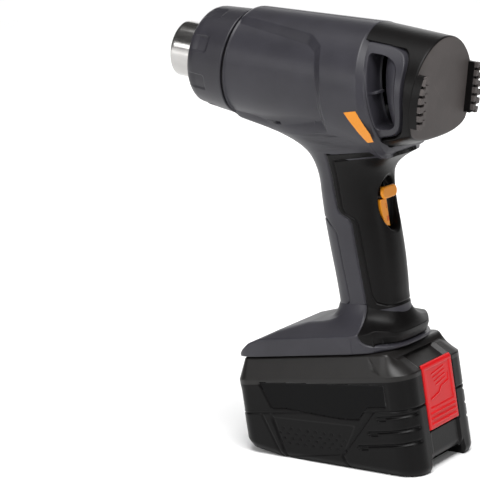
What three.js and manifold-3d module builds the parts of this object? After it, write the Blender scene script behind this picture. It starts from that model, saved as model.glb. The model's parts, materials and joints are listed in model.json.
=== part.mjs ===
// Cordless heat gun with a slide-on battery pack, built as separate pieces.
// Millimetres, +Z up, +X toward the nozzle, +Y the gun's left side.
// Every piece is drawn square to the battery rails ("tool frame"); one group then leans the whole
// tool forward so that the flat underside of the battery lies on Z = 0.
import * as THREE from 'three';
import { mergeVertices } from 'three/addons/utils/BufferGeometryUtils.js';
import Module from 'manifold-3d';

const wasm = await Module();
wasm.setup();

const GAP = 0.3; // clearance between neighbouring pieces
const FAR = 200; // half size of the big cutting blocks

// Stance
const LEAN = THREE.MathUtils.degToRad(8.4); // battery underside against its rails
const UNDERSIDE_Z = 4.9; // height of the underside below the rails' frame at X = 0
const BARREL_TILT = THREE.MathUtils.degToRad(15.4); // barrel axis against the battery rails
const BARREL_Z = 235.5; // barrel axis above the tool frame at X = 0

// Barrel, stations measured along its axis, positive toward the nozzle
const BARREL_SEGMENTS = 40;
const NOZZLE_RADIUS = 17.1;
const NOZZLE_WALL = 1;
const NOZZLE_FRONT = 88;
const NOZZLE_REAR = 8;
const SLEEVE_FRONT = 68.6;
const SLEEVE_REAR = 41.4;
const SLEEVE_RADIUS = 32;
const SLEEVE_FRONT_RADIUS = 27.5;
const SLEEVE_MARKS = 8; // shallow finger recesses around the front edge
const HOUSING_FRONT = 39.4;
const HOUSING_WALL = 2.6;
const HOUSING_REAR_X = -60; // the housing ends on an upright plane, in the tool frame
const CAP_RADIUS = 37.8;
const CAP_RISE = 2; // cap centre above the barrel axis
const CAP_REAR = -91;
const CAP_WALL = 2.5;

// Handle, upright in the tool frame
const HANDLE_SEGMENTS = 28;
const HANDLE_EXPONENT = 2.4; // superellipse, a little squarer than an ellipse
const GRIP_THICKNESS = 2.2;
const HANDLE_WALL = 4.8;

// Foot and battery
const FOOT_BOTTOM = 71.3;
const FOOT_BAND_TOP = 82;
const FOOT_TOP = 89.5;
const FOOT_HALF_WIDTH = 34.5;
const RAIL_HALF_WIDTH = 22.2;
const SOCKET_HALF_WIDTH = 27.2;
const RAIL_TOP = 75.8;
const SOCKET_TOP = 79.6;
const SOCKET_FRONT = 39;
const PACK_HALF_LENGTH = 60;
const PACK_HALF_WIDTH = 38;
const PACK_SEAM = 37.6;
const PACK_SHOULDER = 58;
const PACK_DECK = 71;
const PACK_WALL = 2.5;
const CELL_RADIUS = 9.2;
const CELL_LENGTH = 65;
const CELL_PITCH = 19.4;
const CELL_ROWS = [26, 45.2];
const CELLS_PER_ROW = 5;

// Switch on the back of the handle
const SWITCH_Z = 155;
const SWITCH_HALF_HEIGHT = 16.5;
const SWITCH_HALF_WIDTH = 10.5;

const material = (color, roughness, metalness = 0) =>
  new THREE.MeshStandardMaterial({ color, roughness, metalness });
const look = {
  housing: () => material(0x4a494f, 0.5),
  sleeve: () => material(0x47464c, 0.45),
  rubber: () => material(0x151415, 0.7),
  black: () => material(0x1b1b1c, 0.55),
  gloss: () => material(0x0a0a0b, 0.15),
  orange: () => material(0xe0952f, 0.4),
  red: () => material(0xc41414, 0.4),
  steel: () => material(0xc9c9cb, 0.2, 1),
  screw: () => material(0x5a5c60, 0.35, 1),
  copper: () => material(0xb87333, 0.3, 1),
  wire: () => material(0x6f665e, 0.4, 1),
  ceramic: () => material(0xe8e0cf, 0.8),
  mica: () => material(0xb9a27a, 0.6),
  board: () => material(0x1d5a34, 0.6),
  cell: () => material(0x2d7a8c, 0.4),
};

const tool = new THREE.Group();
tool.name = 'tool_frame';

// --- helpers -------------------------------------------------------------------------------

function solid(geometry) {
  const bare = geometry.clone();
  bare.deleteAttribute('normal');
  bare.deleteAttribute('uv');
  const merged = mergeVertices(bare, 1e-4);
  const mesh = new wasm.Mesh({
    numProp: 3,
    vertProperties: new Float32Array(merged.attributes.position.array),
    triVerts: new Uint32Array(merged.index.array),
  });
  const body = new wasm.Manifold(mesh);
  if (body.volume() > 0) return body;
  const flipped = Uint32Array.from(merged.index.array);
  for (let i = 0; i < flipped.length; i += 3) {
    [flipped[i], flipped[i + 1]] = [flipped[i + 1], flipped[i]];
  }
  mesh.triVerts = flipped;
  return new wasm.Manifold(mesh);
}

function piece(name, body, surface) {
  const { vertProperties, triVerts } = body.getMesh();
  const geometry = new THREE.BufferGeometry();
  geometry.setAttribute('position', new THREE.BufferAttribute(vertProperties, 3));
  geometry.setIndex(new THREE.BufferAttribute(triVerts, 1));
  geometry.computeVertexNormals();
  const mesh = new THREE.Mesh(geometry, surface);
  mesh.name = name;
  tool.add(mesh);
}

function block(x0, x1, y0, y1, z0, z1) {
  const geometry = new THREE.BoxGeometry(x1 - x0, y1 - y0, z1 - z0);
  return solid(geometry.translate((x0 + x1) / 2, (y0 + y1) / 2, (z0 + z1) / 2));
}

const shapeOf = (points) => new THREE.Shape(points.map(([a, b]) => new THREE.Vector2(a, b)));
const extrude = (shape, depth, options = {}) =>
  new THREE.ExtrudeGeometry(shape, { depth, bevelEnabled: false, curveSegments: 5, ...options });

// Side outline (x, z) run across the tool between two y values
function acrossSides(points, y0, y1) {
  const geometry = extrude(shapeOf(points), y1 - y0);
  return solid(geometry.rotateX(Math.PI / 2).translate(0, y1, 0));
}

// End outline (y, z) run along the tool between two x values
function alongTool(points, x0, x1) {
  const geometry = extrude(shapeOf(points), x1 - x0);
  return solid(geometry.rotateX(Math.PI / 2).rotateZ(Math.PI / 2).translate(x0, 0, 0));
}

// Plan outline (x, y) run upward between two z values
function upward(shape, z0, z1) {
  return solid(extrude(shape, z1 - z0).translate(0, 0, z0));
}

// Turned part about the X axis, profile as [station, radius] pairs
function turned(profile, segments = BARREL_SEGMENTS) {
  const points = profile.map(([station, radius]) => new THREE.Vector2(radius, station));
  return solid(new THREE.LatheGeometry(points, segments).rotateZ(-Math.PI / 2));
}

const ring = (s0, s1, inner, outer, segments) =>
  turned([[s0, inner], [s1, inner], [s1, outer], [s0, outer], [s0, inner]], segments);
const rod = (s0, s1, radius, segments = 16) =>
  turned([[s0, 0], [s0, radius], [s1, radius], [s1, 0]], segments);

const barrelMatrix = new THREE.Matrix4()
  .makeRotationY(-BARREL_TILT)
  .setPosition(0, 0, BARREL_Z);
const inBarrel = (body) => body.transform(barrelMatrix.elements);
const barrelPoint = (station, height) =>
  new THREE.Vector3(station, 0, height).applyMatrix4(barrelMatrix);

// Round bar across the tool at a point of the side view
function crossBar(x, z, y0, y1, radius, segments = 12) {
  const geometry = new THREE.CylinderGeometry(radius, radius, y1 - y0, segments);
  return solid(geometry.translate(x, (y0 + y1) / 2, z));
}

const union = (...bodies) => bodies.reduce((sum, body) => sum.add(body));

// --- nozzle, sleeve and heater ----------------------------------------------------------------

const nozzleBore = NOZZLE_RADIUS - NOZZLE_WALL;
piece('nozzle_tube', inBarrel(turned([
  [NOZZLE_REAR, nozzleBore],
  [NOZZLE_FRONT, nozzleBore],
  [NOZZLE_FRONT, NOZZLE_RADIUS],
  [NOZZLE_REAR, NOZZLE_RADIUS],
  [NOZZLE_REAR, nozzleBore],
])), look.steel());

function sleeveWithMarks() {
  const bore = NOZZLE_RADIUS + 2;
  let sleeve = turned([
    [SLEEVE_REAR, SLEEVE_RADIUS - 3],
    [SLEEVE_FRONT - 3, SLEEVE_FRONT_RADIUS - 2],
    [SLEEVE_FRONT - 3, bore],
    [SLEEVE_FRONT, bore],
    [SLEEVE_FRONT, SLEEVE_FRONT_RADIUS - 1.5],
    [SLEEVE_FRONT - 1.2, SLEEVE_FRONT_RADIUS + 0.6],
    [SLEEVE_FRONT - 4.5, SLEEVE_RADIUS - 1.8],
    [SLEEVE_REAR, SLEEVE_RADIUS],
    [SLEEVE_REAR, SLEEVE_RADIUS - 3],
  ]);
  const markLength = 10;
  const markWidth = 10;
  const markFloor = SLEEVE_RADIUS - 2.2;
  for (let i = 0; i < SLEEVE_MARKS; i += 1) {
    const start = SLEEVE_FRONT - 13.5;
    const mark = block(start, start + markLength, -markWidth / 2, markWidth / 2, markFloor, FAR);
    sleeve = sleeve.subtract(mark.rotate([(360 / SLEEVE_MARKS) * i + 22, 0, 0]));
  }
  return sleeve;
}
piece('heat_sleeve', inBarrel(sleeveWithMarks()), look.sleeve());
piece('sleeve_seal', inBarrel(ring(HOUSING_FRONT + GAP, SLEEVE_REAR - GAP, 28.6, 31.2)), look.rubber());

const FORMER_FRONT = 58;
const FORMER_RADIUS = 12.3;
const blade = 1.6;
piece('heater_former', inBarrel(union(
  block(NOZZLE_REAR + 6, FORMER_FRONT, -blade, blade, -FORMER_RADIUS, FORMER_RADIUS),
  block(NOZZLE_REAR + 6, FORMER_FRONT, -FORMER_RADIUS, FORMER_RADIUS, -blade, blade),
)), look.ceramic());

function heatingCoil() {
  const turns = 6;
  const stepsPerTurn = 10;
  const coilRadius = 14;
  const wireRadius = 0.7;
  const first = NOZZLE_REAR + 9;
  const length = FORMER_FRONT - 4 - first;
  class Helix extends THREE.Curve {
    getPoint(t, target = new THREE.Vector3()) {
      const angle = t * turns * 2 * Math.PI;
      return target.set(first + t * length, coilRadius * Math.cos(angle), coilRadius * Math.sin(angle));
    }
  }
  const section = new THREE.Shape().absarc(0, 0, wireRadius, 0, 2 * Math.PI);
  const options = { steps: turns * stepsPerTurn, extrudePath: new Helix(), curveSegments: 3 };
  return solid(new THREE.ExtrudeGeometry(section, options));
}
piece('heating_coil', inBarrel(heatingCoil()), look.wire());
piece('mica_tube', inBarrel(ring(NOZZLE_REAR + 3, 60, 15.2, 15.8, 24)), look.mica());

const FLANGE_STATION = NOZZLE_REAR - 3;
piece('heater_flange', inBarrel(
  ring(FLANGE_STATION, FLANGE_STATION + 2.6, 12.5, 30.4, 24),
), look.steel());
piece('thermal_cutout', inBarrel(
  rod(FLANGE_STATION - 8, FLANGE_STATION - GAP, 3.2, 12).translate([0, 0, 20]),
), look.copper());

// --- fan ------------------------------------------------------------------------------------------

const FAN_REAR = -46;
const FAN_FRONT = -34;
const FAN_BLADES = 9;
function fanImpeller() {
  let fan = union(rod(FAN_REAR, FAN_FRONT, 10, 20), rod(FAN_FRONT - 1, 4, 1.6, 10));
  for (let i = 0; i < FAN_BLADES; i += 1) {
    const vane = block(-6.5, 6.5, -0.8, 0.8, 8, 26.5).rotate([0, 0, 38]);
    fan = fan.add(vane.translate([(FAN_REAR + FAN_FRONT) / 2, 0, 0]).rotate([(360 / FAN_BLADES) * i, 0, 0]));
  }
  return fan;
}
piece('fan_impeller', inBarrel(fanImpeller()), look.black());
piece('fan_shroud', inBarrel(ring(-50, -30, 27.6, 29.6, 32)), look.black());

const MOTOR_REAR = -26;
const MOTOR_FRONT = 0;
piece('motor_can', inBarrel(rod(MOTOR_REAR, MOTOR_FRONT, 14, 24).subtract(rod(-FAR, FAR, 1.9, 10))), look.steel());
piece('motor_cap', inBarrel(ring(MOTOR_FRONT + GAP, MOTOR_FRONT + 2.4, 2.6, 13, 20)), look.black());

function motorMount() {
  const plate = ring(MOTOR_REAR - 2.7, MOTOR_REAR - GAP, 4, 29.6, 32);
  const windowBody = block(-FAR, FAR, 17, 26, -6, 6);
  let mount = plate;
  for (let i = 0; i < 6; i += 1) {
    mount = mount.subtract(windowBody.rotate([60 * i, 0, 0]));
  }
  return mount;
}
piece('motor_mount', inBarrel(motorMount()), look.black());

// --- handle profile shared by housing, grip and pads ----------------------------------------------

// [height, front x, rear x, half width] from the foot up into the barrel
const HANDLE_SECTIONS = [
  [84, -3.5, -45.5, 18],
  [97, -4, -45.2, 17.8],
  [130, -2.6, -46, 18.5],
  [172, -2.4, -46, 19],
  [182, -0.5, -50, 20.5],
  [190, 4, -58, 23],
  [200, 16, -66, 27],
  [212, 36, -70, 29],
];

function superellipse(steps, exponent) {
  const points = [];
  for (let i = 0; i < steps; i += 1) {
    const angle = (i / steps) * 2 * Math.PI;
    const c = Math.cos(angle);
    const s = Math.sin(angle);
    points.push([
      Math.sign(c) * Math.abs(c) ** (2 / exponent),
      Math.sign(s) * Math.abs(s) ** (2 / exponent),
    ]);
  }
  return points;
}

// Column whose outline follows a list of sections, shrunk all round by an inset
function column(sections, inset = 0) {
  const outline = shapeOf(superellipse(HANDLE_SEGMENTS, HANDLE_EXPONENT));
  const geometry = extrude(outline, 1, { steps: sections.length - 1 });
  const position = geometry.attributes.position;
  for (let i = 0; i < position.count; i += 1) {
    const row = sections[Math.round(position.getZ(i) * (sections.length - 1))];
    const halfDepth = (row[1] - row[2]) / 2 - inset;
    const centre = (row[1] + row[2]) / 2;
    position.setXYZ(
      i,
      centre + position.getX(i) * halfDepth,
      position.getY(i) * (row[3] - inset),
      row[0],
    );
  }
  return solid(geometry);
}

const gripOutline = (grow) => [
  [-18.3 + grow, 189 + grow],
  [-90, 189 + grow],
  [-90, 94 - grow],
  [-28.3 + grow, 94 - grow],
  [-26.6 + grow, 148.8],
  [-18.3 + grow, 155.5],
];
const padOutline = (grow) => [
  [30, 150.5 + grow],
  [-7.5, 150.5 + grow],
  [-15.3 - grow, 142],
  [-17.4 - grow, 98 - grow],
  [30, 98 - grow],
];

// Hollow of the handle: it keeps straight where the outside flares into the barrel
const handleHollow = () => column([...HANDLE_SECTIONS.slice(0, 4), [212, -2.4, -46, 19]], HANDLE_WALL);

// --- housing halves -------------------------------------------------------------------------------

const barrelOuter = () => inBarrel(turned([
  [-80, 0],
  [-80, 38.6],
  [-62, 38.9],
  [-52, 40],
  [HOUSING_FRONT - 3, 34.4],
  [HOUSING_FRONT, 32],
  [HOUSING_FRONT, 0],
]));
const barrelInner = () => inBarrel(turned([
  [-90, 0],
  [-90, 35.4],
  [-52, 36.4],
  [HOUSING_FRONT - 3, 31],
  [HOUSING_FRONT + 5, 30],
  [HOUSING_FRONT + 5, 0],
]));

// Side panels: the shell steps in to a plain cone, open toward the nozzle
function panelCutter() {
  const outline = [[45, 33], [-14, 28.6], [-23.5, 25], [-31, 5], [-36, -20], [9, -34], [45, -34]];
  const cone = turned([[-50, 0], [-50, 37.2], [HOUSING_FRONT, 32.4], [HOUSING_FRONT + 10, 32.4], [HOUSING_FRONT + 10, 0]]);
  return inBarrel(acrossSides(outline, -FAR, FAR).subtract(cone).subtract(
    block(-FAR, FAR, -12, 12, -FAR, FAR),
  ));
}

// Underside of the barrel behind the handle is cut flat
const underCut = (lift) => acrossSides([
  [-44, 180 + lift],
  [-84, 189.5 + lift],
  [-130, 189.5 + lift],
  [-130, 120],
  [-44, 120],
], -FAR, FAR);

const SCREW_POINTS = [
  barrelPoint(26, 24.5),
  barrelPoint(-12, 25.5),
  barrelPoint(24, -24.5),
  new THREE.Vector3(-22, 0, 181),
  new THREE.Vector3(-22.8, 0, 104),
];
const SCREW_SHAFT = 1.5;
const SCREW_HEAD = 3;

function housing() {
  const handleSkin = column(HANDLE_SECTIONS);
  const grips = acrossSides(gripOutline(GAP), -FAR, FAR).subtract(column(HANDLE_SECTIONS, GRIP_THICKNESS + GAP));
  const pads = acrossSides(padOutline(GAP), -FAR, FAR).subtract(column(HANDLE_SECTIONS, GRIP_THICKNESS + GAP));
  const rearHalfSpace = block(HOUSING_REAR_X - FAR, HOUSING_REAR_X, -FAR, FAR, 0, 400);
  const cavity = barrelInner().subtract(underCut(HOUSING_WALL)).add(handleHollow());
  let shell = barrelOuter()
    .subtract(underCut(0))
    .add(handleSkin)
    .subtract(panelCutter())
    .subtract(rearHalfSpace)
    .subtract(block(-FAR, FAR, -FAR, FAR, 0, 97 + GAP))
    .subtract(grips)
    .subtract(pads)
    .subtract(cavity);
  const inside = barrelOuter().add(handleSkin).subtract(panelCutter()).subtract(grips).subtract(pads);
  for (const point of SCREW_POINTS) {
    shell = shell.add(crossBar(point.x, point.z, -30, 30, 3.8).intersect(inside));
  }
  for (const point of SCREW_POINTS) {
    shell = shell.subtract(crossBar(point.x, point.z, -12, 9.5, SCREW_SHAFT + GAP));
    shell = shell.subtract(crossBar(point.x, point.z, -FAR, -9, SCREW_HEAD + GAP));
  }
  const opening = switchRecess(GAP, -38);
  return shell.subtract(opening);
}

// Oval well in the back of the handle
function switchRecess(grow, floorX) {
  const well = new THREE.CylinderGeometry(1, 1, FAR, 24).rotateZ(Math.PI / 2);
  well.scale(1, SWITCH_HALF_WIDTH + grow, SWITCH_HALF_HEIGHT + grow);
  return solid(well.translate(floorX - FAR / 2, 0, SWITCH_Z));
}

const shell = housing();
piece('housing_left', shell.intersect(block(-FAR, FAR, GAP / 2, FAR, 0, 400)), look.housing());
piece('housing_right', shell.intersect(block(-FAR, FAR, -FAR, -GAP / 2, 0, 400)), look.housing());

SCREW_POINTS.forEach((point, i) => {
  const shaft = crossBar(point.x, point.z, -11, 9, SCREW_SHAFT, 10);
  const head = crossBar(point.x, point.z, -11.6, -9.4, SCREW_HEAD, 12);
  const socket = crossBar(point.x, point.z, -12, -10.6, 1.5, 6);
  piece(`housing_screw_${i + 1}`, shaft.add(head).subtract(socket), look.screw());
});

// --- grip, pad, switch ----------------------------------------------------------------------------

const handleShell = (outline) => column(HANDLE_SECTIONS)
  .subtract(column(HANDLE_SECTIONS, GRIP_THICKNESS))
  .intersect(acrossSides(outline, -FAR, FAR));
piece('rear_grip', handleShell(gripOutline(0))
  .subtract(switchRecess(GAP, -38))
  .subtract(inBarrel(turned([[-100, 0], [-100, 41], [0, 41], [0, 0]])).subtract(underCut(0)))
  .subtract(crossBar(-22, 181, -FAR, 0, SCREW_HEAD + GAP)), look.rubber());
piece('front_pad', handleShell(padOutline(0)), look.housing());

const WELL_FLOOR = -38.2;
const travelSlot = block(-FAR, 0, -2.2, 2.2, SWITCH_Z - 12, SWITCH_Z + 12.6);
piece('switch_bezel', switchRecess(0, WELL_FLOOR)
  .subtract(switchRecess(-1.3, WELL_FLOOR - 1.4))
  .intersect(column(HANDLE_SECTIONS, 0.4))
  .subtract(travelSlot), look.black());

const KNOB_Z = SWITCH_Z + 7;
const knobShape = new THREE.Shape();
knobShape.absarc(-3.2, 0, 3.4, Math.PI / 2, (3 * Math.PI) / 2);
knobShape.absarc(3.2, 0, 3.4, -Math.PI / 2, Math.PI / 2);
const knobBody = solid(extrude(knobShape, 7.6).rotateY(-Math.PI / 2).rotateX(Math.PI / 2).translate(-41.4, 0, KNOB_Z));
piece('switch_slider', knobBody.add(block(-42, -35, -1.8, 1.8, KNOB_Z - 3, KNOB_Z + 3)), look.orange());
piece('switch_scale', block(-41.1, -39.9, 2.6, 6.2, SWITCH_Z - 9.5, SWITCH_Z + 6), look.orange());
piece('switch_body', block(-34.6, -22, -8, 8, SWITCH_Z - 16, SWITCH_Z + 16), look.black());

// --- rear cap, intakes and stand pads ---------------------------------------------------------------

const capBody = (shrink, rear) => inBarrel(turned([
  [-40, 0],
  [-40, CAP_RADIUS - shrink],
  [rear + 2, CAP_RADIUS - 1 - shrink],
  [rear, CAP_RADIUS - 3 - shrink],
  [rear, 0],
]).translate([0, 0, CAP_RISE])).subtract(underCut(shrink + 0.2));
const capFront = block(HOUSING_REAR_X - GAP, FAR, -FAR, FAR, 0, 400);
const intakeOutline = (grow) => [
  [HOUSING_REAR_X + 1, 250 + grow],
  [-80 - grow, 247.5 + grow],
  [-85.5 - grow, 241],
  [-80.5 - grow, 204],
  [-75 - grow, 198 - grow],
  [HOUSING_REAR_X + 1, 197 - grow],
];
const intakeSides = (grow) => acrossSides(intakeOutline(grow), -FAR, FAR)
  .subtract(block(-FAR, FAR, -27, 27, 0, 400));
const rearCap = capBody(0, CAP_REAR)
  .subtract(capBody(CAP_WALL, CAP_REAR + CAP_WALL))
  .subtract(capFront)
  .subtract(intakeSides(GAP));
piece('rear_cap', rearCap, look.rubber());

const SLOT = { front: -62.8, rear: -71.8, bottom: 204, top: 244 };
function intakeGrille() {
  const slot = block(SLOT.rear, SLOT.front, -FAR, FAR, SLOT.bottom, SLOT.top);
  const rib = block(SLOT.rear - 1, SLOT.front + 1, -FAR, FAR, 222.8, 225.2);
  const frame = capBody(0.5, CAP_REAR)
    .subtract(capBody(3.6, CAP_REAR + 4))
    .subtract(capFront)
    .intersect(intakeSides(0));
  return frame.subtract(slot.subtract(rib));
}
const grilles = intakeGrille();
piece('intake_grille_left', grilles.intersect(block(-FAR, FAR, 0, FAR, 0, 400)), look.housing());
piece('intake_grille_right', grilles.intersect(block(-FAR, FAR, -FAR, 0, 0, 400)), look.housing());

function standPad(side) {
  const teeth = 6;
  const low = -10;
  const high = 20.5;
  const pitch = (high - low) / teeth;
  const centre = side * 29.6;
  let pad = block(CAP_REAR - 6, CAP_REAR - GAP, centre - 3.8, centre + 3.8, low, high);
  for (let i = 0; i < teeth; i += 1) {
    const notch = low + pitch * (i + 0.5);
    pad = pad.subtract(block(-FAR, CAP_REAR - 4.8, centre - 5, centre + 5, notch - 1, notch + 1));
  }
  return inBarrel(pad);
}
piece('stand_pad_left', standPad(1), look.rubber());
piece('stand_pad_right', standPad(-1), look.rubber());

// --- foot -------------------------------------------------------------------------------------------

function roundedPlan(x0, x1, halfWidth, rearRadius, frontRadius) {
  const outline = new THREE.Shape();
  outline.moveTo(x0 + rearRadius, -halfWidth);
  outline.lineTo(x1 - frontRadius, -halfWidth);
  outline.quadraticCurveTo(x1, -halfWidth, x1, -halfWidth + frontRadius);
  outline.lineTo(x1, halfWidth - frontRadius);
  outline.quadraticCurveTo(x1, halfWidth, x1 - frontRadius, halfWidth);
  outline.lineTo(x0 + rearRadius, halfWidth);
  outline.quadraticCurveTo(x0, halfWidth, x0, halfWidth - rearRadius);
  outline.lineTo(x0, -halfWidth + rearRadius);
  outline.quadraticCurveTo(x0, -halfWidth, x0 + rearRadius, -halfWidth);
  return outline;
}

const NECK_SECTIONS = [
  [80, 9, -51.8, 31],
  [84, 5, -49.5, 26.5],
  [89, -0.5, -46.5, 21],
  [97, -4, -45.2, 17.8],
];

function footOuter() {
  const plan = upward(roundedPlan(-52, 58, FOOT_HALF_WIDTH, 26, 22), FOOT_BOTTOM, FOOT_TOP);
  const side = acrossSides([
    [-52, FOOT_BOTTOM],
    [58, FOOT_BOTTOM],
    [57, 74.5],
    [49, 79.7],
    [31, 85.8],
    [12, FOOT_TOP],
    [-20, FOOT_TOP],
    [-44, 84],
    [-52, 80.6],
  ], -FAR, FAR);
  const end = alongTool([
    [-FOOT_HALF_WIDTH, FOOT_BOTTOM],
    [FOOT_HALF_WIDTH, FOOT_BOTTOM],
    [FOOT_HALF_WIDTH, FOOT_BAND_TOP],
    [20, FOOT_TOP],
    [-20, FOOT_TOP],
    [-FOOT_HALF_WIDTH, FOOT_BAND_TOP],
  ], -FAR, FAR);
  return plan.intersect(side).intersect(end).add(column(NECK_SECTIONS));
}

const socketCavity = () => union(
  block(-FAR, SOCKET_FRONT, -RAIL_HALF_WIDTH, RAIL_HALF_WIDTH, 60, RAIL_TOP + 0.5),
  block(-FAR, SOCKET_FRONT, -SOCKET_HALF_WIDTH, SOCKET_HALF_WIDTH, RAIL_TOP, SOCKET_TOP),
);
const footCavity = () => union(
  socketCavity(),
  block(-38, 20, -18, 18, 75, 86.5),
  handleHollow(),
);
const skirtOutline = (grow) => [
  [-28.5 + grow, 120],
  [-28.5 + grow, 80],
  [-36 + grow, 74 - grow],
  [-90, 74 - grow],
  [-90, 120],
];
const footBody = footOuter().subtract(footCavity());
piece('foot_shell', footBody.subtract(acrossSides(skirtOutline(GAP), -FAR, FAR)), look.housing());
const skirtBody = footBody
  .intersect(acrossSides(skirtOutline(0), -FAR, FAR))
  .subtract(block(-FAR, FAR, -FAR, FAR, 94 - GAP, 400));
piece('grip_skirt', skirtBody, look.rubber());

piece('control_board', block(-10, 17, -16, 16, 83.4, 85), look.board());
piece('terminal_block', block(3, 17, -14, 14, SOCKET_TOP + 1, 83), look.black());
for (const [name, y] of [['contact_plus', 8], ['contact_minus', -8]]) {
  piece(name, block(5, 15, y - 0.5, y + 0.5, 73.4, SOCKET_TOP + 0.7), look.copper());
}

// --- battery pack -------------------------------------------------------------------------------------

const packPlan = (inset) => roundedPlan(
  -PACK_HALF_LENGTH + inset,
  PACK_HALF_LENGTH - inset,
  PACK_HALF_WIDTH - inset,
  14 - inset / 2,
  12 - inset / 2,
);
// The underside is flat up to a break near the nose, where it turns up a little more
const BREAK_X = 34;
const NOSE_SLOPE = 0.16;
const undersideAt = (x) => UNDERSIDE_Z + Math.tan(LEAN) * x + NOSE_SLOPE * Math.max(0, x - BREAK_X);
const underFloor = (lift) => acrossSides([
  [-90, undersideAt(-90) + lift],
  [-90, -60],
  [90, -60],
  [90, undersideAt(90) + lift],
  [BREAK_X, undersideAt(BREAK_X) + lift],
], -FAR, FAR);
const packEnd = (inset) => alongTool([
  [-PACK_HALF_WIDTH + inset, -60],
  [PACK_HALF_WIDTH - inset, -60],
  [PACK_HALF_WIDTH - inset, PACK_SHOULDER],
  [32 - inset, PACK_DECK - inset],
  [-32 + inset, PACK_DECK - inset],
  [-PACK_HALF_WIDTH + inset, PACK_SHOULDER],
], -FAR, FAR);
const packSide = (inset) => acrossSides([
  [-PACK_HALF_LENGTH + inset, -60],
  [PACK_HALF_LENGTH - inset, -60],
  [PACK_HALF_LENGTH - inset, PACK_SHOULDER],
  [54 - inset, PACK_DECK - inset],
  [-55 + inset, PACK_DECK - inset],
  [-PACK_HALF_LENGTH + inset, PACK_SHOULDER],
], -FAR, FAR);

const packBody = (inset) => upward(packPlan(inset), -20, PACK_DECK - inset)
  .intersect(packEnd(inset))
  .intersect(packSide(inset))
  .subtract(underFloor(inset));

const BUTTON = { halfWidth: 17.4, bottom: 20.7, top: 60, travel: 4 };
const buttonWindow = block(
  -FAR, -50,
  -BUTTON.halfWidth - GAP, BUTTON.halfWidth + GAP,
  BUTTON.bottom - GAP, BUTTON.top + GAP,
);
const LATCH = { rear: -37, front: -30, halfWidth: 6, top: SOCKET_TOP - 0.8, travel: 4.5 };
// Open to the rear, so that the hook stands clear of the rail head
const latchBay = block(-FAR, LATCH.front + 3, -9, 9, LATCH.top - LATCH.travel - 0.2, 90);
const latchSlot = block(
  LATCH.rear - GAP, LATCH.front + GAP,
  -LATCH.halfWidth - GAP, LATCH.halfWidth + GAP,
  60, 90,
);

const packShell = packBody(0).subtract(packBody(PACK_WALL));
const packHead = () => {
  const head = union(
    block(-49.5, 38, -RAIL_HALF_WIDTH + GAP, RAIL_HALF_WIDTH - GAP, PACK_DECK - 2, RAIL_TOP + 1),
    block(-49.5, 38, -SOCKET_HALF_WIDTH + GAP, SOCKET_HALF_WIDTH - GAP, RAIL_TOP + GAP, SOCKET_TOP - GAP),
  );
  const underFoot = upward(roundedPlan(-51, 57, FOOT_HALF_WIDTH - 1, 25, 21), 60, 90);
  const contactSlot = (y) => block(3, FAR, y - 1.2, y + 1.2, 72.6, 90);
  return head.intersect(underFoot).subtract(latchBay).subtract(contactSlot(8)).subtract(contactSlot(-8));
};
const labelOutline = (grow) => [
  [45 + grow, 56 + grow],
  [-44.3 - grow, 53.4 + grow],
  [-44.3 - grow, 39.8 - grow],
  [37 + grow, 39.8 - grow],
];
const labelRecess = acrossSides(labelOutline(GAP), -FAR, FAR)
  .subtract(block(-FAR, FAR, -PACK_HALF_WIDTH + 1, PACK_HALF_WIDTH - 1, 0, 90));
const upperHalf = block(-FAR, FAR, -FAR, FAR, PACK_SEAM + GAP / 2, 400);
const lowerHalf = block(-FAR, FAR, -FAR, FAR, -60, PACK_SEAM - GAP / 2);

piece('battery_upper_case', packShell
  .intersect(upperHalf)
  .add(packHead())
  .subtract(buttonWindow)
  .subtract(latchSlot)
  .subtract(labelRecess), look.black());

const PACK_SCREWS = [[-50, 26], [-50, -26], [52.5, 22], [52.5, -22]];
const upright = (x, y, z0, z1, radius, segments = 10) =>
  solid(new THREE.CylinderGeometry(radius, radius, z1 - z0, segments)
    .rotateX(Math.PI / 2)
    .translate(x, y, (z0 + z1) / 2));
let lowerCase = packShell.intersect(lowerHalf).subtract(buttonWindow);
PACK_SCREWS.forEach(([x, y], i) => {
  const floor = undersideAt(x);
  const boss = upright(x, y, floor - 2, floor + 12, 4).intersect(packBody(0));
  lowerCase = lowerCase.add(boss)
    .subtract(upright(x, y, floor - 20, floor + 8, SCREW_HEAD + GAP, 12))
    .subtract(upright(x, y, floor, floor + 20, SCREW_SHAFT + GAP));
  const screw = upright(x, y, floor + 7, floor + 22, SCREW_SHAFT)
    .add(upright(x, y, floor + 5.2, floor + 8 - GAP, SCREW_HEAD, 12))
    .subtract(upright(x, y, floor, floor + 6.4, 1.5, 6));
  piece(`pack_screw_${i + 1}`, screw, look.screw());
});
piece('battery_lower_case', lowerCase, look.black());

const labelPlate = acrossSides(labelOutline(0), PACK_HALF_WIDTH - 0.7, PACK_HALF_WIDTH - 0.1);
piece('label_left', labelPlate, look.gloss());
piece('label_right', labelPlate.mirror([0, 1, 0]), look.gloss());

const buttonFace = block(
  -PACK_HALF_LENGTH - 0.6, -PACK_HALF_LENGTH + 2,
  -BUTTON.halfWidth, BUTTON.halfWidth,
  BUTTON.bottom, PACK_SHOULDER - 1,
);
let button = buttonFace.add(block(-PACK_HALF_LENGTH + 1, -52, -9, 9, 52, BUTTON.top));
button = button.add(acrossSides([
  [-PACK_HALF_LENGTH - 0.6, PACK_SHOULDER - 1.1],
  [-PACK_HALF_LENGTH + 2.4, PACK_SHOULDER - 1.1],
  [-PACK_HALF_LENGTH + 2.6, BUTTON.top],
  [-PACK_HALF_LENGTH + 0.6, BUTTON.top],
], -BUTTON.halfWidth, BUTTON.halfWidth));
for (let i = 0; i < 3; i += 1) {
  const z = BUTTON.bottom + 3.5 + 3.4 * i;
  button = button.subtract(block(-FAR, -PACK_HALF_LENGTH + 0.3, -14, 14, z, z + 1.2));
}
piece('release_button', button, look.red());

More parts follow.
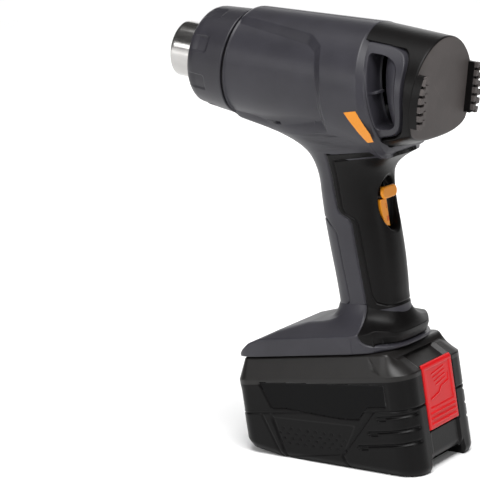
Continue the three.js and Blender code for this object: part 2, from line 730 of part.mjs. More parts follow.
piece('latch_hook', block(LATCH.rear, LATCH.front, -LATCH.halfWidth, LATCH.halfWidth, 62.4, LATCH.top)
  .subtract(acrossSides([
    [LATCH.front + 1, LATCH.top + 1],
    [LATCH.front + 1, LATCH.top - 5],
    [LATCH.rear + 2, LATCH.top + 1],
  ], -FAR, FAR)), look.black());

function latchSpring() {
  const turns = 4;
  const radius = 2.6;
  const bottom = 56.9;
  const height = 4.5;
  class Helix extends THREE.Curve {
    getPoint(t, target = new THREE.Vector3()) {
      const angle = t * turns * 2 * Math.PI;
      return target.set(
        (LATCH.rear + LATCH.front) / 2 + radius * Math.cos(angle),
        radius * Math.sin(angle),
        bottom + t * height,
      );
    }
  }
  const section = new THREE.Shape().absarc(0, 0, 0.35, 0, 2 * Math.PI);
  const options = { steps: turns * 8, extrudePath: new Helix(), curveSegments: 2 };
  return solid(new THREE.ExtrudeGeometry(section, options));
}
piece('latch_spring', latchSpring(), look.steel());

let holder = block(-49.6, 49.6, -3, 3, CELL_ROWS[0] - 4, CELL_ROWS[1] + 4);
CELL_ROWS.forEach((z, row) => {
  for (let i = 0; i < CELLS_PER_ROW; i += 1) {
    const x = (i - (CELLS_PER_ROW - 1) / 2) * CELL_PITCH;
    const half = CELL_LENGTH / 2;
    piece(`cell_${row * CELLS_PER_ROW + i + 1}`, crossBar(x, z, -half, half, CELL_RADIUS, 16), look.cell());
    holder = holder.subtract(crossBar(x, z, -FAR, FAR, CELL_RADIUS + GAP, 16));
  }
});
piece('cell_holder', holder, look.black());
piece('battery_board', block(-46, 46, -27, 27, 54.8, 56.4), look.board());

// --- whole tool ------------------------------------------------------------------------------------------

tool.rotation.y = LEAN;
tool.position.set(-UNDERSIDE_Z * Math.sin(LEAN), 0, -UNDERSIDE_Z * Math.cos(LEAN));
const heatGun = new THREE.Group();
heatGun.name = 'heat_gun';
heatGun.add(tool);

export default heatGun;
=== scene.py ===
"""Looks of a cordless heat gun: smooth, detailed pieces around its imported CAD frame.

Shapes are worked out in millimetres, square to the battery rails (the tool frame: +X toward the
nozzle, +Y the gun's left, +Z up the handle). The whole tool leans forward on its battery.
"""

import json
import math

import bmesh
import bpy
import numpy as np
from mathutils import Matrix, Vector


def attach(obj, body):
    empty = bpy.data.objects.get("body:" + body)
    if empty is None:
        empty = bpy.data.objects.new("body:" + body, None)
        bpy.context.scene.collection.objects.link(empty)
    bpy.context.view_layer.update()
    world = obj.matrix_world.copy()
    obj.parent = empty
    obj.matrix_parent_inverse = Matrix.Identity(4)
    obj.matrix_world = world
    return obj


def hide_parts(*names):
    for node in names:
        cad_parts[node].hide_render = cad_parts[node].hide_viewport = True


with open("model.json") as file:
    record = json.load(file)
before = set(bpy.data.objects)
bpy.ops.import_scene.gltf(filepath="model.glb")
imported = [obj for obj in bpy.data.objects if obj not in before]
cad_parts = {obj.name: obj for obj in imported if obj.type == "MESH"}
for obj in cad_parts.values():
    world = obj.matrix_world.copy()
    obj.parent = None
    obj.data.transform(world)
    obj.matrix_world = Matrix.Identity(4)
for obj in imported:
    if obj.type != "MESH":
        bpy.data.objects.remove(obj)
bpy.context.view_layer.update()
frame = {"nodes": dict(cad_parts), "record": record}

# --- driving dimensions, mm and degrees ---
LEAN = math.radians(8.4)
UNDERSIDE_Z = 4.9
BARREL_TILT = math.radians(15.4)
BARREL_Z = 235.5

HOUSING_FRONT = 39.4
HOUSING_REAR_X = -60.0
NOZZLE_RADIUS = 17.1
NOZZLE_FRONT = 88.0
NOZZLE_REAR = 8.0
NOZZLE_WALL = 1.1
SLEEVE_FRONT = 68.6
SLEEVE_REAR = 41.4
SEAL_INNER = 28.6
SEAL_OUTER = 31.2
SLEEVE_RADIUS = 32.0
SLEEVE_FRONT_RADIUS = 27.5
SLEEVE_MARKS = 8
FIRST_MARK = math.radians(22)
CAP_RADIUS = 37.8
CAP_RISE = 2.0
CAP_REAR = -91.0
CAP_ROUNDING = 1.6

SWITCH_Z = 155.0
SWITCH_HALF_HEIGHT = 16.5
SWITCH_HALF_WIDTH = 10.5
WELL_FLOOR_X = -39.8
STEM_SLOT_HALF_WIDTH = 2.2
STEM_SLOT_HALF_HEIGHT = 12.3
SCREW_WELLS = [(-22.0, 181.0), (-22.8, 104.0)]
SCREW_WELL_RADIUS = 3.4
SCREW_WELL_FLOOR_Y = -11.9
BARREL_SCREWS = [(26.0, 24.5), (-12.0, 25.5), (24.0, -24.5)]

FOOT_BOTTOM = 71.3
PACK_HALF_LENGTH = 60.0
PACK_HALF_WIDTH = 38.0
PACK_SEAM = 37.6
PACK_SHOULDER = 58.0
PACK_DECK = 71.0
BUTTON_HALF_WIDTH = 17.4
BUTTON_BOTTOM = 20.7
BUTTON_TOP = 60.0


# --- frames ---
def tool_to_world(p):
    """Tool-frame millimetres to the row frame in metres."""
    p = np.asarray(p, float)
    x, y, z = p[..., 0], p[..., 1], p[..., 2] - UNDERSIDE_Z
    c, s = math.cos(LEAN), math.sin(LEAN)
    return np.stack([x * c + z * s, y, z * c - x * s], -1) / 1000


def barrel_to_tool(station, y, height):
    """Barrel coordinates (along its axis, left, up) to the tool frame."""
    c, s = math.cos(BARREL_TILT), math.sin(BARREL_TILT)
    station, y, height = np.broadcast_arrays(station, y, height)
    x = station * c - height * s
    z = BARREL_Z + station * s + height * c
    return np.stack([x, y, z], -1)


def tool_to_barrel(x, z):
    """Tool-frame x and z to the place along the barrel's axis and the height above it."""
    c, s = math.cos(BARREL_TILT), math.sin(BARREL_TILT)
    return x * c + (z - BARREL_Z) * s, (z - BARREL_Z) * c - x * s


# --- small maths ---
def ramp(value, low, high):
    """0 below low, 1 above high, smooth between."""
    t = np.clip((value - low) / (high - low), 0, 1)
    return t * t * (3 - 2 * t)


def smooth_min(a, b, k):
    """The smaller of a and b, rounded where they are within k of each other."""
    h = np.clip(0.5 + 0.5 * (b - a) / k, 0, 1)
    return b + (a - b) * h - k * h * (1 - h)


def ridge(distance, width):
    """A narrow bump of height 1 where distance is 0."""
    return np.exp(-((distance / width) ** 2))


def inside_convex(px, py, corners, k=0.01):
    """Signed distance, positive inside, to a convex outline given counter-clockwise."""
    result = None
    for (ax, ay), (bx, by) in zip(corners, corners[1:] + corners[:1]):
        length = math.hypot(bx - ax, by - ay)
        d = ((bx - ax) * (py - ay) - (by - ay) * (px - ax)) / length
        result = d if result is None else smooth_min(result, d, k)
    return result


def path_distance(px, py, points):
    """Distance to an open run of straight lines."""
    best = np.full(np.broadcast(px, py).shape, 1e9)
    for (ax, ay), (bx, by) in zip(points, points[1:]):
        dx, dy = bx - ax, by - ay
        t = np.clip(((px - ax) * dx + (py - ay) * dy) / (dx * dx + dy * dy), 0, 1)
        best = np.minimum(best, np.hypot(px - ax - t * dx, py - ay - t * dy))
    return best


def eased(x, points):
    """Smooth curve through (x, y) points, slopes taken from the neighbours."""
    xs = np.array([p[0] for p in points], float)
    ys = np.array([p[1] for p in points], float)
    slopes = np.gradient(ys, xs)
    i = np.clip(np.searchsorted(xs, x) - 1, 0, len(xs) - 2)
    h = xs[i + 1] - xs[i]
    t = np.clip((x - xs[i]) / h, 0, 1)
    a = (1 + 2 * t) * (1 - t) ** 2 * ys[i] + t * (1 - t) ** 2 * h * slopes[i]
    b = t * t * (3 - 2 * t) * ys[i + 1] + t * t * (t - 1) * h * slopes[i + 1]
    return a + b


# --- materials ---
def new_material(name):
    material = bpy.data.materials.new(name)
    material.use_nodes = True
    tree = material.node_tree
    return material, tree, tree.nodes["Principled BSDF"]


def node(tree, kind, **values):
    """New shader node, with values given to its sockets or else to its settings."""
    made = tree.nodes.new(kind)
    for key, value in values.items():
        if key in made.inputs:
            made.inputs[key].default_value = value
        else:
            setattr(made, key, value)
    return made


def blend_colour(tree, fac, low, high):
    """Colour between low and high, following a texture's middle range."""
    made = node(tree, "ShaderNodeValToRGB")
    for element, colour, position in zip(made.color_ramp.elements, (low, high), (0.35, 0.65)):
        element.color = (*colour, 1)
        element.position = position
    tree.links.new(fac, made.inputs["Fac"])
    return made.outputs["Color"]


def ranged(tree, value, low, high, from_range=(0, 1)):
    """Maps a value from from_range to low..high."""
    made = node(tree, "ShaderNodeMapRange")
    made.inputs["From Min"].default_value, made.inputs["From Max"].default_value = from_range
    made.inputs["To Min"].default_value, made.inputs["To Max"].default_value = low, high
    tree.links.new(value, made.inputs["Value"])
    return made.outputs["Result"]


def add_relief(tree, height, strength, distance):
    """Bumps the surface by a height value. distance is in metres."""
    relief = node(tree, "ShaderNodeBump", Strength=strength, Distance=distance)
    tree.links.new(height, relief.inputs["Height"])
    tree.links.new(relief.outputs["Normal"], tree.nodes["Principled BSDF"].inputs["Normal"])


def moulded(name, colour, roughness, grain=900, bump=0.12, variation=0.12, coat=0, gleam=0.35):
    """Moulded plastic: spark-eroded grain, cloudy roughness and slightly worn edges."""
    material, tree, shader = new_material(name)
    links = tree.links
    coords = node(tree, "ShaderNodeTexCoord")
    where = coords.outputs["Object"]
    cloud = node(tree, "ShaderNodeTexNoise", Scale=38.0, Detail=4.0, Roughness=0.6)
    fine = node(tree, "ShaderNodeTexNoise", Scale=grain, Detail=3.0, Roughness=0.65)
    pores = node(tree, "ShaderNodeTexVoronoi", Scale=grain * 0.8)
    for texture in (cloud, fine, pores):
        links.new(where, texture.inputs["Vector"])
    dark = tuple(c * (1 - variation) for c in colour)
    light = tuple(min(1, c * (1 + variation)) for c in colour)
    body = blend_colour(tree, cloud.outputs["Fac"], dark, light)
    geometry = node(tree, "ShaderNodeNewGeometry")
    worn = ranged(tree, geometry.outputs["Pointiness"], 0, 0.35, from_range=(0.53, 0.62))
    edge = node(tree, "ShaderNodeMixRGB", Color2=(*(min(1, c * 1.6 + 0.003) for c in colour), 1))
    links.new(worn, edge.inputs["Fac"])
    links.new(body, edge.inputs["Color1"])
    links.new(edge.outputs["Color"], shader.inputs["Base Color"])
    rough = ranged(tree, cloud.outputs["Fac"], roughness - 0.06, roughness + 0.06)
    links.new(rough, shader.inputs["Roughness"])
    mix = node(tree, "ShaderNodeMath", operation="ADD")
    links.new(fine.outputs["Fac"], mix.inputs[0])
    links.new(pores.outputs["Distance"], mix.inputs[1])
    add_relief(tree, mix.outputs["Value"], bump, 0.00012)
    shader.inputs["Specular IOR Level"].default_value = gleam
    shader.inputs["Coat Weight"].default_value = coat
    shader.inputs["Coat Roughness"].default_value = 0.25
    return material


def metal(name, colour, roughness, grain=(1, 1, 1), bump=0.04):
    """Bare metal with fine drawn lines and cloudy tarnish."""
    material, tree, shader = new_material(name)
    links = tree.links
    coords = node(tree, "ShaderNodeTexCoord")
    mapping = node(tree, "ShaderNodeMapping", Scale=grain)
    links.new(coords.outputs["Object"], mapping.inputs["Vector"])
    lines = node(tree, "ShaderNodeTexNoise", Scale=700.0, Detail=4.0)
    links.new(mapping.outputs["Vector"], lines.inputs["Vector"])
    cloud = node(tree, "ShaderNodeTexNoise", Scale=60.0, Detail=3.0)
    links.new(coords.outputs["Object"], cloud.inputs["Vector"])
    dark = tuple(c * 0.86 for c in colour)
    links.new(blend_colour(tree, cloud.outputs["Fac"], dark, colour), shader.inputs["Base Color"])
    rough = ranged(tree, lines.outputs["Fac"], roughness * 0.7, roughness * 1.4)
    links.new(rough, shader.inputs["Roughness"])
    add_relief(tree, lines.outputs["Fac"], bump, 0.0001)
    shader.inputs["Metallic"].default_value = 1.0
    return material


LOOKS = {
    "housing": moulded("anthracite_shell", (0.026, 0.025, 0.031), 0.40, bump=0.1, gleam=0.3),
    "sleeve": moulded("anthracite_sleeve", (0.022, 0.021, 0.026), 0.4, bump=0.1, gleam=0.32),
    "rubber": moulded("soft_black", (0.0032, 0.0028, 0.0028), 0.4, grain=700, bump=0.15, gleam=0.13),
    # cap_face: painted light. A lighter warm grey copy of the black rubber, standing in for light falling on
    # the rear faces of the rubber cap and pad teeth.
    "cap_face": moulded("rear_face_painted_light", (0.062, 0.054, 0.052), 0.62, grain=600, bump=0.15, gleam=0.25),
    "black_plastic": moulded("pack_black", (0.0024, 0.0022, 0.0023), 0.34, gleam=0.13),
    "shoulder": moulded("pack_shoulder", (0.0085, 0.0076, 0.0072), 0.4, gleam=0.3),
    "gloss_black": moulded("gloss_window", (0.0006, 0.0006, 0.0008), 0.1, grain=300, bump=0.01, gleam=0.1),
    "orange": moulded("switch_orange", (0.68, 0.24, 0.012), 0.36, bump=0.06, variation=0.05, gleam=0.3),
    "red": moulded("release_red", (0.50, 0.0045, 0.007), 0.38, bump=0.06, variation=0.06, gleam=0.25),
    "mark": moulded("switch_mark", (0.42, 0.03, 0.006), 0.5, bump=0.02, variation=0.05),
    "steel": metal("polished_steel", (0.46, 0.45, 0.44), 0.2, grain=(0.15, 1, 1)),
    "screw_steel": metal("zinc_screw", (0.3, 0.3, 0.31), 0.32),
    "copper": metal("contact_copper", (0.78, 0.45, 0.22), 0.3),
    "heater_wire": metal("oxidised_wire", (0.2, 0.18, 0.16), 0.45),
    "ceramic": moulded("ceramic", (0.72, 0.66, 0.55), 0.75, grain=500, bump=0.2),
    "mica": moulded("mica_sheet", (0.42, 0.33, 0.2), 0.5, grain=250, bump=0.2, coat=0.4),
    "circuit_board": moulded("circuit_board", (0.015, 0.1, 0.04), 0.4, grain=300, coat=0.4),
    "cell_wrap": moulded("cell_wrap", (0.02, 0.16, 0.24), 0.35, grain=200, bump=0.02, coat=0.4),
}


# --- building meshes ---
def finish_piece(name, mesh, look, body, replaces=()):
    """Links a mesh given in world metres, dresses it and ties it to its body."""
    mesh.validate()
    work = bmesh.new()
    work.from_mesh(mesh)
    bmesh.ops.recalc_face_normals(work, faces=work.faces)
    work.to_mesh(mesh)
    work.free()
    mesh.shade_smooth()
    mesh.materials.append(LOOKS[look])
    obj = bpy.data.objects.new(name, mesh)
    bpy.context.scene.collection.objects.link(obj)
    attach(obj, body)
    if replaces:
        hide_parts(*replaces)
    return obj


def grid_faces(rows, columns, closed, keep):
    """Quads of a grid, with the second direction closed into a ring if asked."""
    around = columns if closed else columns - 1
    i, j = np.meshgrid(np.arange(rows - 1), np.arange(around), indexing="ij")
    k = (j + 1) % columns
    row, next_row = i * columns, (i + 1) * columns
    quads = np.stack([row + j, row + k, next_row + k, next_row + j], -1)
    if keep is not None:
        return quads[keep[: quads.shape[0], : quads.shape[1]]]
    return quads.reshape(-1, 4)


def grid_piece(name, points, look, body, replaces=(), closed=True, keep=None, fill_last=False):
    """Piece from a grid of tool-frame points. keep masks its quads, and fill_last closes the last
    ring straight across."""
    rows, columns = points.shape[:2]
    quads = grid_faces(rows, columns, closed, keep)
    if fill_last:
        j = np.arange(columns // 2 - 1)
        near = (rows - 1) * columns + j
        far = rows * columns - 1 - j
        quads = np.concatenate([quads, np.stack([near, near + 1, far - 1, far], -1)])
    flat = tool_to_world(points.reshape(-1, 3))
    used = np.unique(quads)
    renumber = np.zeros(len(flat), int)
    renumber[used] = np.arange(len(used))
    mesh = bpy.data.meshes.new(name)
    mesh.from_pydata(flat[used].tolist(), [], renumber[quads].tolist())
    return finish_piece(name, mesh, look, body, replaces)


def lathe(name, profile, columns, look, body, replaces=(), shape=None):
    """Part turned about the barrel axis. profile is a list of (station, radius), and shape may
    change the radius all round."""
    s = np.array([p[0] for p in profile], float)[:, None]
    r = np.array([p[1] for p in profile], float)[:, None]
    t = np.linspace(0, 2 * math.pi, columns, endpoint=False)[None, :]
    if shape is not None:
        r = shape(s, t, r)
    points = barrel_to_tool(s + 0 * t, r * np.sin(t), r * np.cos(t))
    return grid_piece(name, points, look, body, replaces)


def dense(profile, step):
    """Adds points along a (station, radius) profile so that no gap is longer than step."""
    out = []
    for (s0, r0), (s1, r1) in zip(profile, profile[1:]):
        count = max(1, math.ceil(math.hypot(s1 - s0, r1 - r0) / step))
        out += [(s0 + (s1 - s0) * i / count, r0 + (r1 - r0) * i / count) for i in range(count)]
    return out + [profile[-1]]


def arc(cx, cy, rx, ry, start, end, count):
    """Points along an elliptic arc. start and end are in degrees."""
    angles = np.radians(np.linspace(start, end, count))
    return [(cx + rx * math.cos(a), cy + ry * math.sin(a)) for a in angles]


def bevelled_blocks(name, blocks, place, look, body, replaces=(), bevel=0.4, segments=3):
    """Prisms with rounded corners, as one piece. Each block is an outline of (a, b) and its two
    depths, and place maps (a, b, depth) to the tool frame."""
    work = bmesh.new()
    for outline, depths in blocks:
        near, far = [
            [work.verts.new(tool_to_world(place(a, b, depth))) for a, b in outline] for depth in depths
        ]
        work.faces.new(near)
        work.faces.new(far[::-1])
        for i in range(len(outline)):
            j = (i + 1) % len(outline)
            work.faces.new([near[i], far[i], far[j], near[j]])
    mesh = bpy.data.meshes.new(name)
    work.to_mesh(mesh)
    work.free()
    obj = finish_piece(name, mesh, look, body, replaces)
    rounding = obj.modifiers.new("rounding", "BEVEL")
    rounding.width = bevel / 1000
    rounding.segments = segments
    rounding.limit_method = "ANGLE"
    rounding.angle_limit = math.radians(25)
    rounding.harden_normals = True
    return obj


def bevelled_prism(name, outline, depths, *rest, **options):
    """One bevelled block. The other arguments are those of bevelled_blocks."""
    return bevelled_blocks(name, [(outline, depths)], *rest, **options)


# --- barrel housing ---
UNDERCUT_SLOPE = 0.2375
UNDERCUT_START = (-44.0, 180.0)
HOUSING_RISE = 0.4
HOUSING_RADIUS = 34.5
HOUSING_TAPER = 0.062
HOUSING_SKIRT = 38.0
UNROLL_RADIUS = 36.0
PANEL_CORNERS = [(60, 14.5), (60, 99.5), (9, 97), (-35.5, 80), (-31, 51), (-24.5, 31), (-15, 24.5)]
PANEL_FLOOR_RADIUS = 31.9
PANEL_CHAMFER = 5.0
HANDLE_POWER = 2.4
HANDLE_TOP = 209.0
HANDLE_FRONT = [(84, -2.8), (97, -3.8), (112, -3.6), (131, -2.6), (150, -1.8), (165, -2.0), (174, -2.2)]
HANDLE_FRONT += [(181, -1.2), (187, 1.0), (193, 4.6), (199, 10.5), (205, 19.5), (211, 33.0), (216, 46.0)]
HANDLE_REAR = [(84, -46.5), (90, -45.0), (97, -44.6), (108, -45.3), (123, -45.9), (140, -45.6)]
HANDLE_REAR += [(155, -44.9), (168, -45.4), (176, -47.4), (181, -50.5), (184, -54), (190, -60), (216, -64)]
HANDLE_WIDTH = [(84, 17.9), (97, 17.8), (130, 18.5), (165, 18.9), (176, 19.4), (184, 20.6), (192, 22.2)]
HANDLE_WIDTH += [(200, 23.8), (206, 23.4), (211, 20.5), (216, 15.0)]


def undercut_radius(station, turn):
    """How far the flat underside behind the handle lets the barrel reach, per direction."""
    c, s = math.cos(BARREL_TILT), math.sin(BARREL_TILT)
    start_x, start_z = UNDERCUT_START
    rise = BARREL_Z + station * s - start_z + UNDERCUT_SLOPE * (station * c - start_x)
    fall = -np.cos(turn) * (c - UNDERCUT_SLOPE * s)
    return np.where(fall > 0.05, rise / np.maximum(fall, 0.05), 1e3)


def housing_radius(station, turn):
    """Outer radius of the barrel housing with its stepped side panels."""
    front = np.clip((station - (HOUSING_FRONT - 4)) / 4, 0, 1)
    rounded_front = 2.2 * (1 - np.sqrt(1 - front**2))
    radius = HOUSING_RADIUS + (HOUSING_FRONT - 3 - station) * HOUSING_TAPER - rounded_front
    arc_length = np.abs((turn + math.pi) % (2 * math.pi) - math.pi) * UNROLL_RADIUS
    depth = inside_convex(station, arc_length, PANEL_CORNERS, k=0.8)
    floor = PANEL_FLOOR_RADIUS + (HOUSING_FRONT - station) * 0.04
    chamfer = np.clip(depth / PANEL_CHAMFER, 0, 1)
    panel = radius - (radius - floor) * chamfer * (station < HOUSING_FRONT - 0.6)
    return smooth_min(panel, undercut_radius(station, turn), 2.5)


def barrel_gap(p):
    """Distance outside the barrel housing, measured square to its axis."""
    station, height = tool_to_barrel(p[..., 0], p[..., 2])
    turn = np.arctan2(p[..., 1], height - HOUSING_RISE)
    return np.hypot(p[..., 1], height - HOUSING_RISE) - housing_radius(station, turn)


def handle_gap(p):
    """Distance outside the handle, measured in its level cross-section."""
    front, rear = eased(p[..., 2], HANDLE_FRONT), eased(p[..., 2], HANDLE_REAR)
    across = np.abs(p[..., 0] - (front + rear) / 2) / ((front - rear) / 2)
    sideways = np.abs(p[..., 1]) / eased(p[..., 2], HANDLE_WIDTH)
    share = np.maximum((across**HANDLE_POWER + sideways**HANDLE_POWER) ** (1 / HANDLE_POWER), 0.05)
    level_gap = np.hypot(p[..., 0] - (front + rear) / 2, p[..., 1]) * (1 - 1 / share)
    return np.maximum(level_gap, p[..., 2] - HANDLE_TOP)


def filleted(points, reach=11.0, steps=4, probe=0.05):
    """Moves points near the meeting of handle and barrel onto one rounded surface."""

    def joint(p):
        return smooth_min(handle_gap(p), barrel_gap(p), reach)

    points = points.copy()
    near = np.abs(handle_gap(points) - barrel_gap(points)) < reach
    near &= points[..., 0] > HOUSING_REAR_X + 1
    p = points[near]
    start = p.copy()
    for _ in range(steps):
        value = joint(p)
        slope = np.stack([(joint(p + probe * axis) - value) / probe for axis in np.eye(3)], -1)
        p = p - slope * (value / np.maximum((slope**2).sum(-1), 0.2))[..., None]
    moved = np.linalg.norm(p - start, axis=-1)
    points[near] = np.where((moved < reach)[..., None], p, start)
    return points


def barrel_grid(rows, columns):
    """Grid from the front edge to the upright rear plane, with a rear bevel and turned-in edges."""
    t = np.linspace(0, 2 * math.pi, columns, endpoint=False)[None, :]
    u = np.linspace(0, 1, rows)[:, None]
    c, s = math.cos(BARREL_TILT), math.sin(BARREL_TILT)
    rear = (HOUSING_REAR_X + HOUSING_SKIRT * np.cos(t) * s) / c
    station = HOUSING_FRONT + (rear - HOUSING_FRONT) * u
    rear_bevel = 2.6 * np.clip(1 - (station - rear - 0.6) / 4.2, 0, 1)
    top_seam = 0.45 * ridge(np.minimum(t, 2 * math.pi - t) * UNROLL_RADIUS, 0.35)
    radius = housing_radius(station, t) - rear_bevel - top_seam
    station = np.concatenate([np.full_like(t, HOUSING_FRONT), station, rear])
    radius = np.concatenate([radius[:1] - 3.4, radius, radius[-1:] - 4.2])
    turn = np.broadcast_to(t, station.shape)
    return station, radius, turn


def screw_well(points, centre_x, centre_z):
    """Pushes grid points of the right side down to the floor of a round screw well."""
    reach = np.hypot(points[..., 0] - centre_x, points[..., 2] - centre_z)
    down = ramp(SCREW_WELL_RADIUS - reach, -0.1, 0.5) * (points[..., 1] < 0)
    points[..., 1] = points[..., 1] * (1 - down) + SCREW_WELL_FLOOR_Y * down


def build_barrel():
    """Barrel skins with screw wells, split along the seam and where the grip covers the underside."""
    station, radius, turn = barrel_grid(230, 560)
    points = barrel_to_tool(station, radius * np.sin(turn), radius * np.cos(turn) + HOUSING_RISE)
    points[2:-6] = filleted(points[2:-6])
    for along, height in BARREL_SCREWS:
        centre = barrel_to_tool(along, 0, height)
        screw_well(points, float(centre[0]), float(centre[2]))
    left = np.sin(turn[:-1]) >= 0
    under = (radius > undercut_radius(station, turn) - 1.2)[:-1] & (points[:-1, :, 0] < -46)
    for name, look, keep, replaced in (
        ("barrel_shell_left", "housing", left & ~under, ["housing_left"]),
        ("barrel_shell_right", "housing", ~left & ~under, ["housing_right"]),
        ("barrel_underside", "rubber", under, ["rear_grip"]),
    ):
        grid_piece(name, points, look, "tool", replaced, keep=keep)


build_barrel()


# --- sleeve, seal, nozzle and heater ---
def sleeve_shape(station, turn, radius):
    """Eight shallow rounded recesses, open toward the rounded front edge."""
    outer = radius > SLEEVE_FRONT_RADIUS - 1.0
    pitch = 2 * math.pi / SLEEVE_MARKS
    local = (turn - FIRST_MARK + pitch / 2) % pitch - pitch / 2
    across = np.abs(local * SLEEVE_RADIUS)
    inside = smooth_min(5.4 - across, station - (SLEEVE_FRONT - 14.5), 1.6)
    fade = 1 - ramp(station, SLEEVE_FRONT - 7.5, SLEEVE_FRONT - 1.5)
    return radius - outer * (0.95 * ramp(inside, -0.1, 0.75) * fade)


sleeve_profile = dense(
    [(SLEEVE_REAR, SLEEVE_RADIUS - 3.4), (SLEEVE_REAR, SLEEVE_RADIUS - 0.5)]
    + [(SLEEVE_REAR + 0.5, SLEEVE_RADIUS), (SLEEVE_FRONT - 8.5, SLEEVE_RADIUS - 1.4)]
    + arc(SLEEVE_FRONT - 7.5, SLEEVE_FRONT_RADIUS - 2, 7.5, 5, 88, 0, 16)
    + [(SLEEVE_FRONT, NOZZLE_RADIUS + 2.6), (SLEEVE_FRONT - 0.6, NOZZLE_RADIUS + 2)]
    + [(SLEEVE_FRONT - 5, NOZZLE_RADIUS + 2), (SLEEVE_FRONT - 5, SLEEVE_FRONT_RADIUS - 3)]
    + [(SLEEVE_REAR + 1, SLEEVE_RADIUS - 3.4), (SLEEVE_REAR, SLEEVE_RADIUS - 3.4)],
    0.6,
)
lathe("heat_sleeve_skin", sleeve_profile, 420, "sleeve", "sleeve", ["heat_sleeve"], sleeve_shape)
seal_front, seal_rear = SLEEVE_REAR - 0.2, HOUSING_FRONT + 0.2
seal_profile = [(seal_rear, SEAL_INNER), (seal_rear, SEAL_OUTER - 0.3), (seal_rear + 0.3, SEAL_OUTER)]
seal_profile += [(seal_front - 0.3, SEAL_OUTER), (seal_front, SEAL_OUTER - 0.3)]
seal_profile += [(seal_front, SEAL_INNER), (seal_rear, SEAL_INNER)]
lathe("seal_ring", seal_profile, 240, "rubber", "tool", ["sleeve_seal"])

nozzle_start = (NOZZLE_REAR, NOZZLE_RADIUS)
half_wall = NOZZLE_WALL / 2
rim = arc(NOZZLE_FRONT - half_wall, NOZZLE_RADIUS - half_wall, half_wall, half_wall, 90, -90, 9)
inner_end = (NOZZLE_REAR, NOZZLE_RADIUS - NOZZLE_WALL)
nozzle_profile = dense([nozzle_start] + rim + [inner_end, nozzle_start], 2.0)
lathe("nozzle_skin", nozzle_profile, 240, "steel", "tool", ["nozzle_tube"])


def build_coil():
    """Heating wire wound round the ceramic former."""
    turns, per_turn, sides = 6, 60, 10
    first, last, winding, wire = NOZZLE_REAR + 9, 54.0, 14.2, 0.7
    along = np.linspace(0, 1, turns * per_turn)[:, None]
    angle = along * turns * 2 * math.pi
    section = np.linspace(0, 2 * math.pi, sides, endpoint=False)[None, :]
    radius = winding + wire * np.cos(section)
    station = first + (last - first) * along + wire * np.sin(section)
    points = barrel_to_tool(station, radius * np.sin(angle), radius * np.cos(angle))
    grid_piece("heating_coil_wire", points, "heater_wire", "tool", ["heating_coil"])


build_coil()


# --- rear cap, intakes and stand pads ---
INTAKE_CORNERS = [(-50, 256), (-80, 247.5), (-85.5, 241), (-80.5, 204), (-75, 197.5), (-50, 196)]
SCOOP_CORNERS = [(-61.2, 246.5), (-74, 243), (-79.5, 237), (-77, 207), (-73, 202), (-61.2, 202.5)]


def intake_depth(x, z):
    """Signed distance inside the intake frame's outline, seen from the side."""
    return inside_convex(x, z, INTAKE_CORNERS, k=5.0)


def cap_body_radius(station):
    """Radius of the cap's slightly tapered body."""
    return CAP_RADIUS - (-50 - station) * 0.022


def cap_radius(station, turn):
    """Radius of the cap all round, cut off below by the slope behind the handle."""
    return smooth_min(cap_body_radius(station), undercut_radius(station, turn) - 0.8, 17.0)


def build_cap():
    """Rear cap: wall, rounded rim and flat face, with a seat sunk in each side for the intakes."""
    t = np.linspace(0, 2 * math.pi, 620, endpoint=False)[None, :]
    station = np.linspace(-46, CAP_REAR + CAP_ROUNDING, 110)[:, None]
    radius = cap_radius(station, t)
    edge = np.radians(np.linspace(0, 90, 8))[1:, None]
    rim_station = CAP_REAR + CAP_ROUNDING - CAP_ROUNDING * np.sin(edge)
    rim_radius = cap_radius(rim_station, t) - CAP_ROUNDING * (1 - np.cos(edge))
    shrink = np.linspace(1, 0.002, 40)[1:, None]
    station = np.concatenate([station + 0 * t, rim_station + 0 * t, CAP_REAR + 0 * shrink * t])
    radius = np.concatenate([radius, rim_radius, rim_radius[-1:] * shrink])
    turn = np.broadcast_to(t, station.shape)
    points = barrel_to_tool(station, radius * np.sin(turn), radius * np.cos(turn) + CAP_RISE)
    inside = intake_depth(points[..., 0], points[..., 2])
    on_side = (np.abs(points[..., 1]) > 22) & (station > CAP_REAR + 2)
    sink = 3.4 * ramp(inside, -1.5, 0.2) * on_side
    points[..., 1] -= np.sign(points[..., 1]) * sink
    keep = ~((inside > 2.5) & on_side)[:-1]
    face = np.zeros_like(keep)
    face[-len(shrink) - 3:] = True
    grid_piece("rear_cap_skin", points, "rubber", "tool", ["rear_cap"], keep=keep & ~face)
    # The flat rear face takes the lighter cap_face colour: painted light on the black rubber where light
    # falls on the face.
    grid_piece("rear_cap_face", points, "cap_face", "tool", ["rear_cap"], keep=face)


build_cap()


def build_intake(side, name, replaced):
    """Framed air intake: bevelled frame, deep slot with a cross rib, and a scoop behind the slot."""
    scoop_end_x, scoop_length, scoop_depth = -79.0, 13.0, 13.5
    rib_z, rib_half_height, rib_end_x = 223.5, 0.7, -64.4
    x = np.linspace(-59.4, -86.5, 150)[:, None]
    z = np.linspace(194.5, 252, 300)[None, :]
    station, height = tool_to_barrel(x, z)
    y = np.sqrt(np.maximum(cap_body_radius(station) ** 2 - (height - CAP_RISE) ** 2, 100)) - 0.5
    inside = intake_depth(x, z)
    y = y - 2.6 * (1 - ramp(inside, 0.0, 1.3))
    scoop = inside_convex(x, z, SCOOP_CORNERS, k=3.0)
    sunk = ramp(scoop, -0.2, 0.8)
    fall = np.clip((x - scoop_end_x) / scoop_length, 0, 1) ** 2.2
    rib = (np.abs(z - rib_z) < rib_half_height) & (x > rib_end_x)
    depth = sunk * (0.9 + scoop_depth * fall * (1 - 0.72 * rib))
    points = np.stack([x + 0 * z, side * (y - depth), z + 0 * x], -1)
    keep = (inside > 0.1) & ~((scoop > 2.0) & (fall > 0.97) & ~rib)
    grid_piece(name, points, "housing", "tool", replaced, closed=False, keep=keep[:-1, :-1])


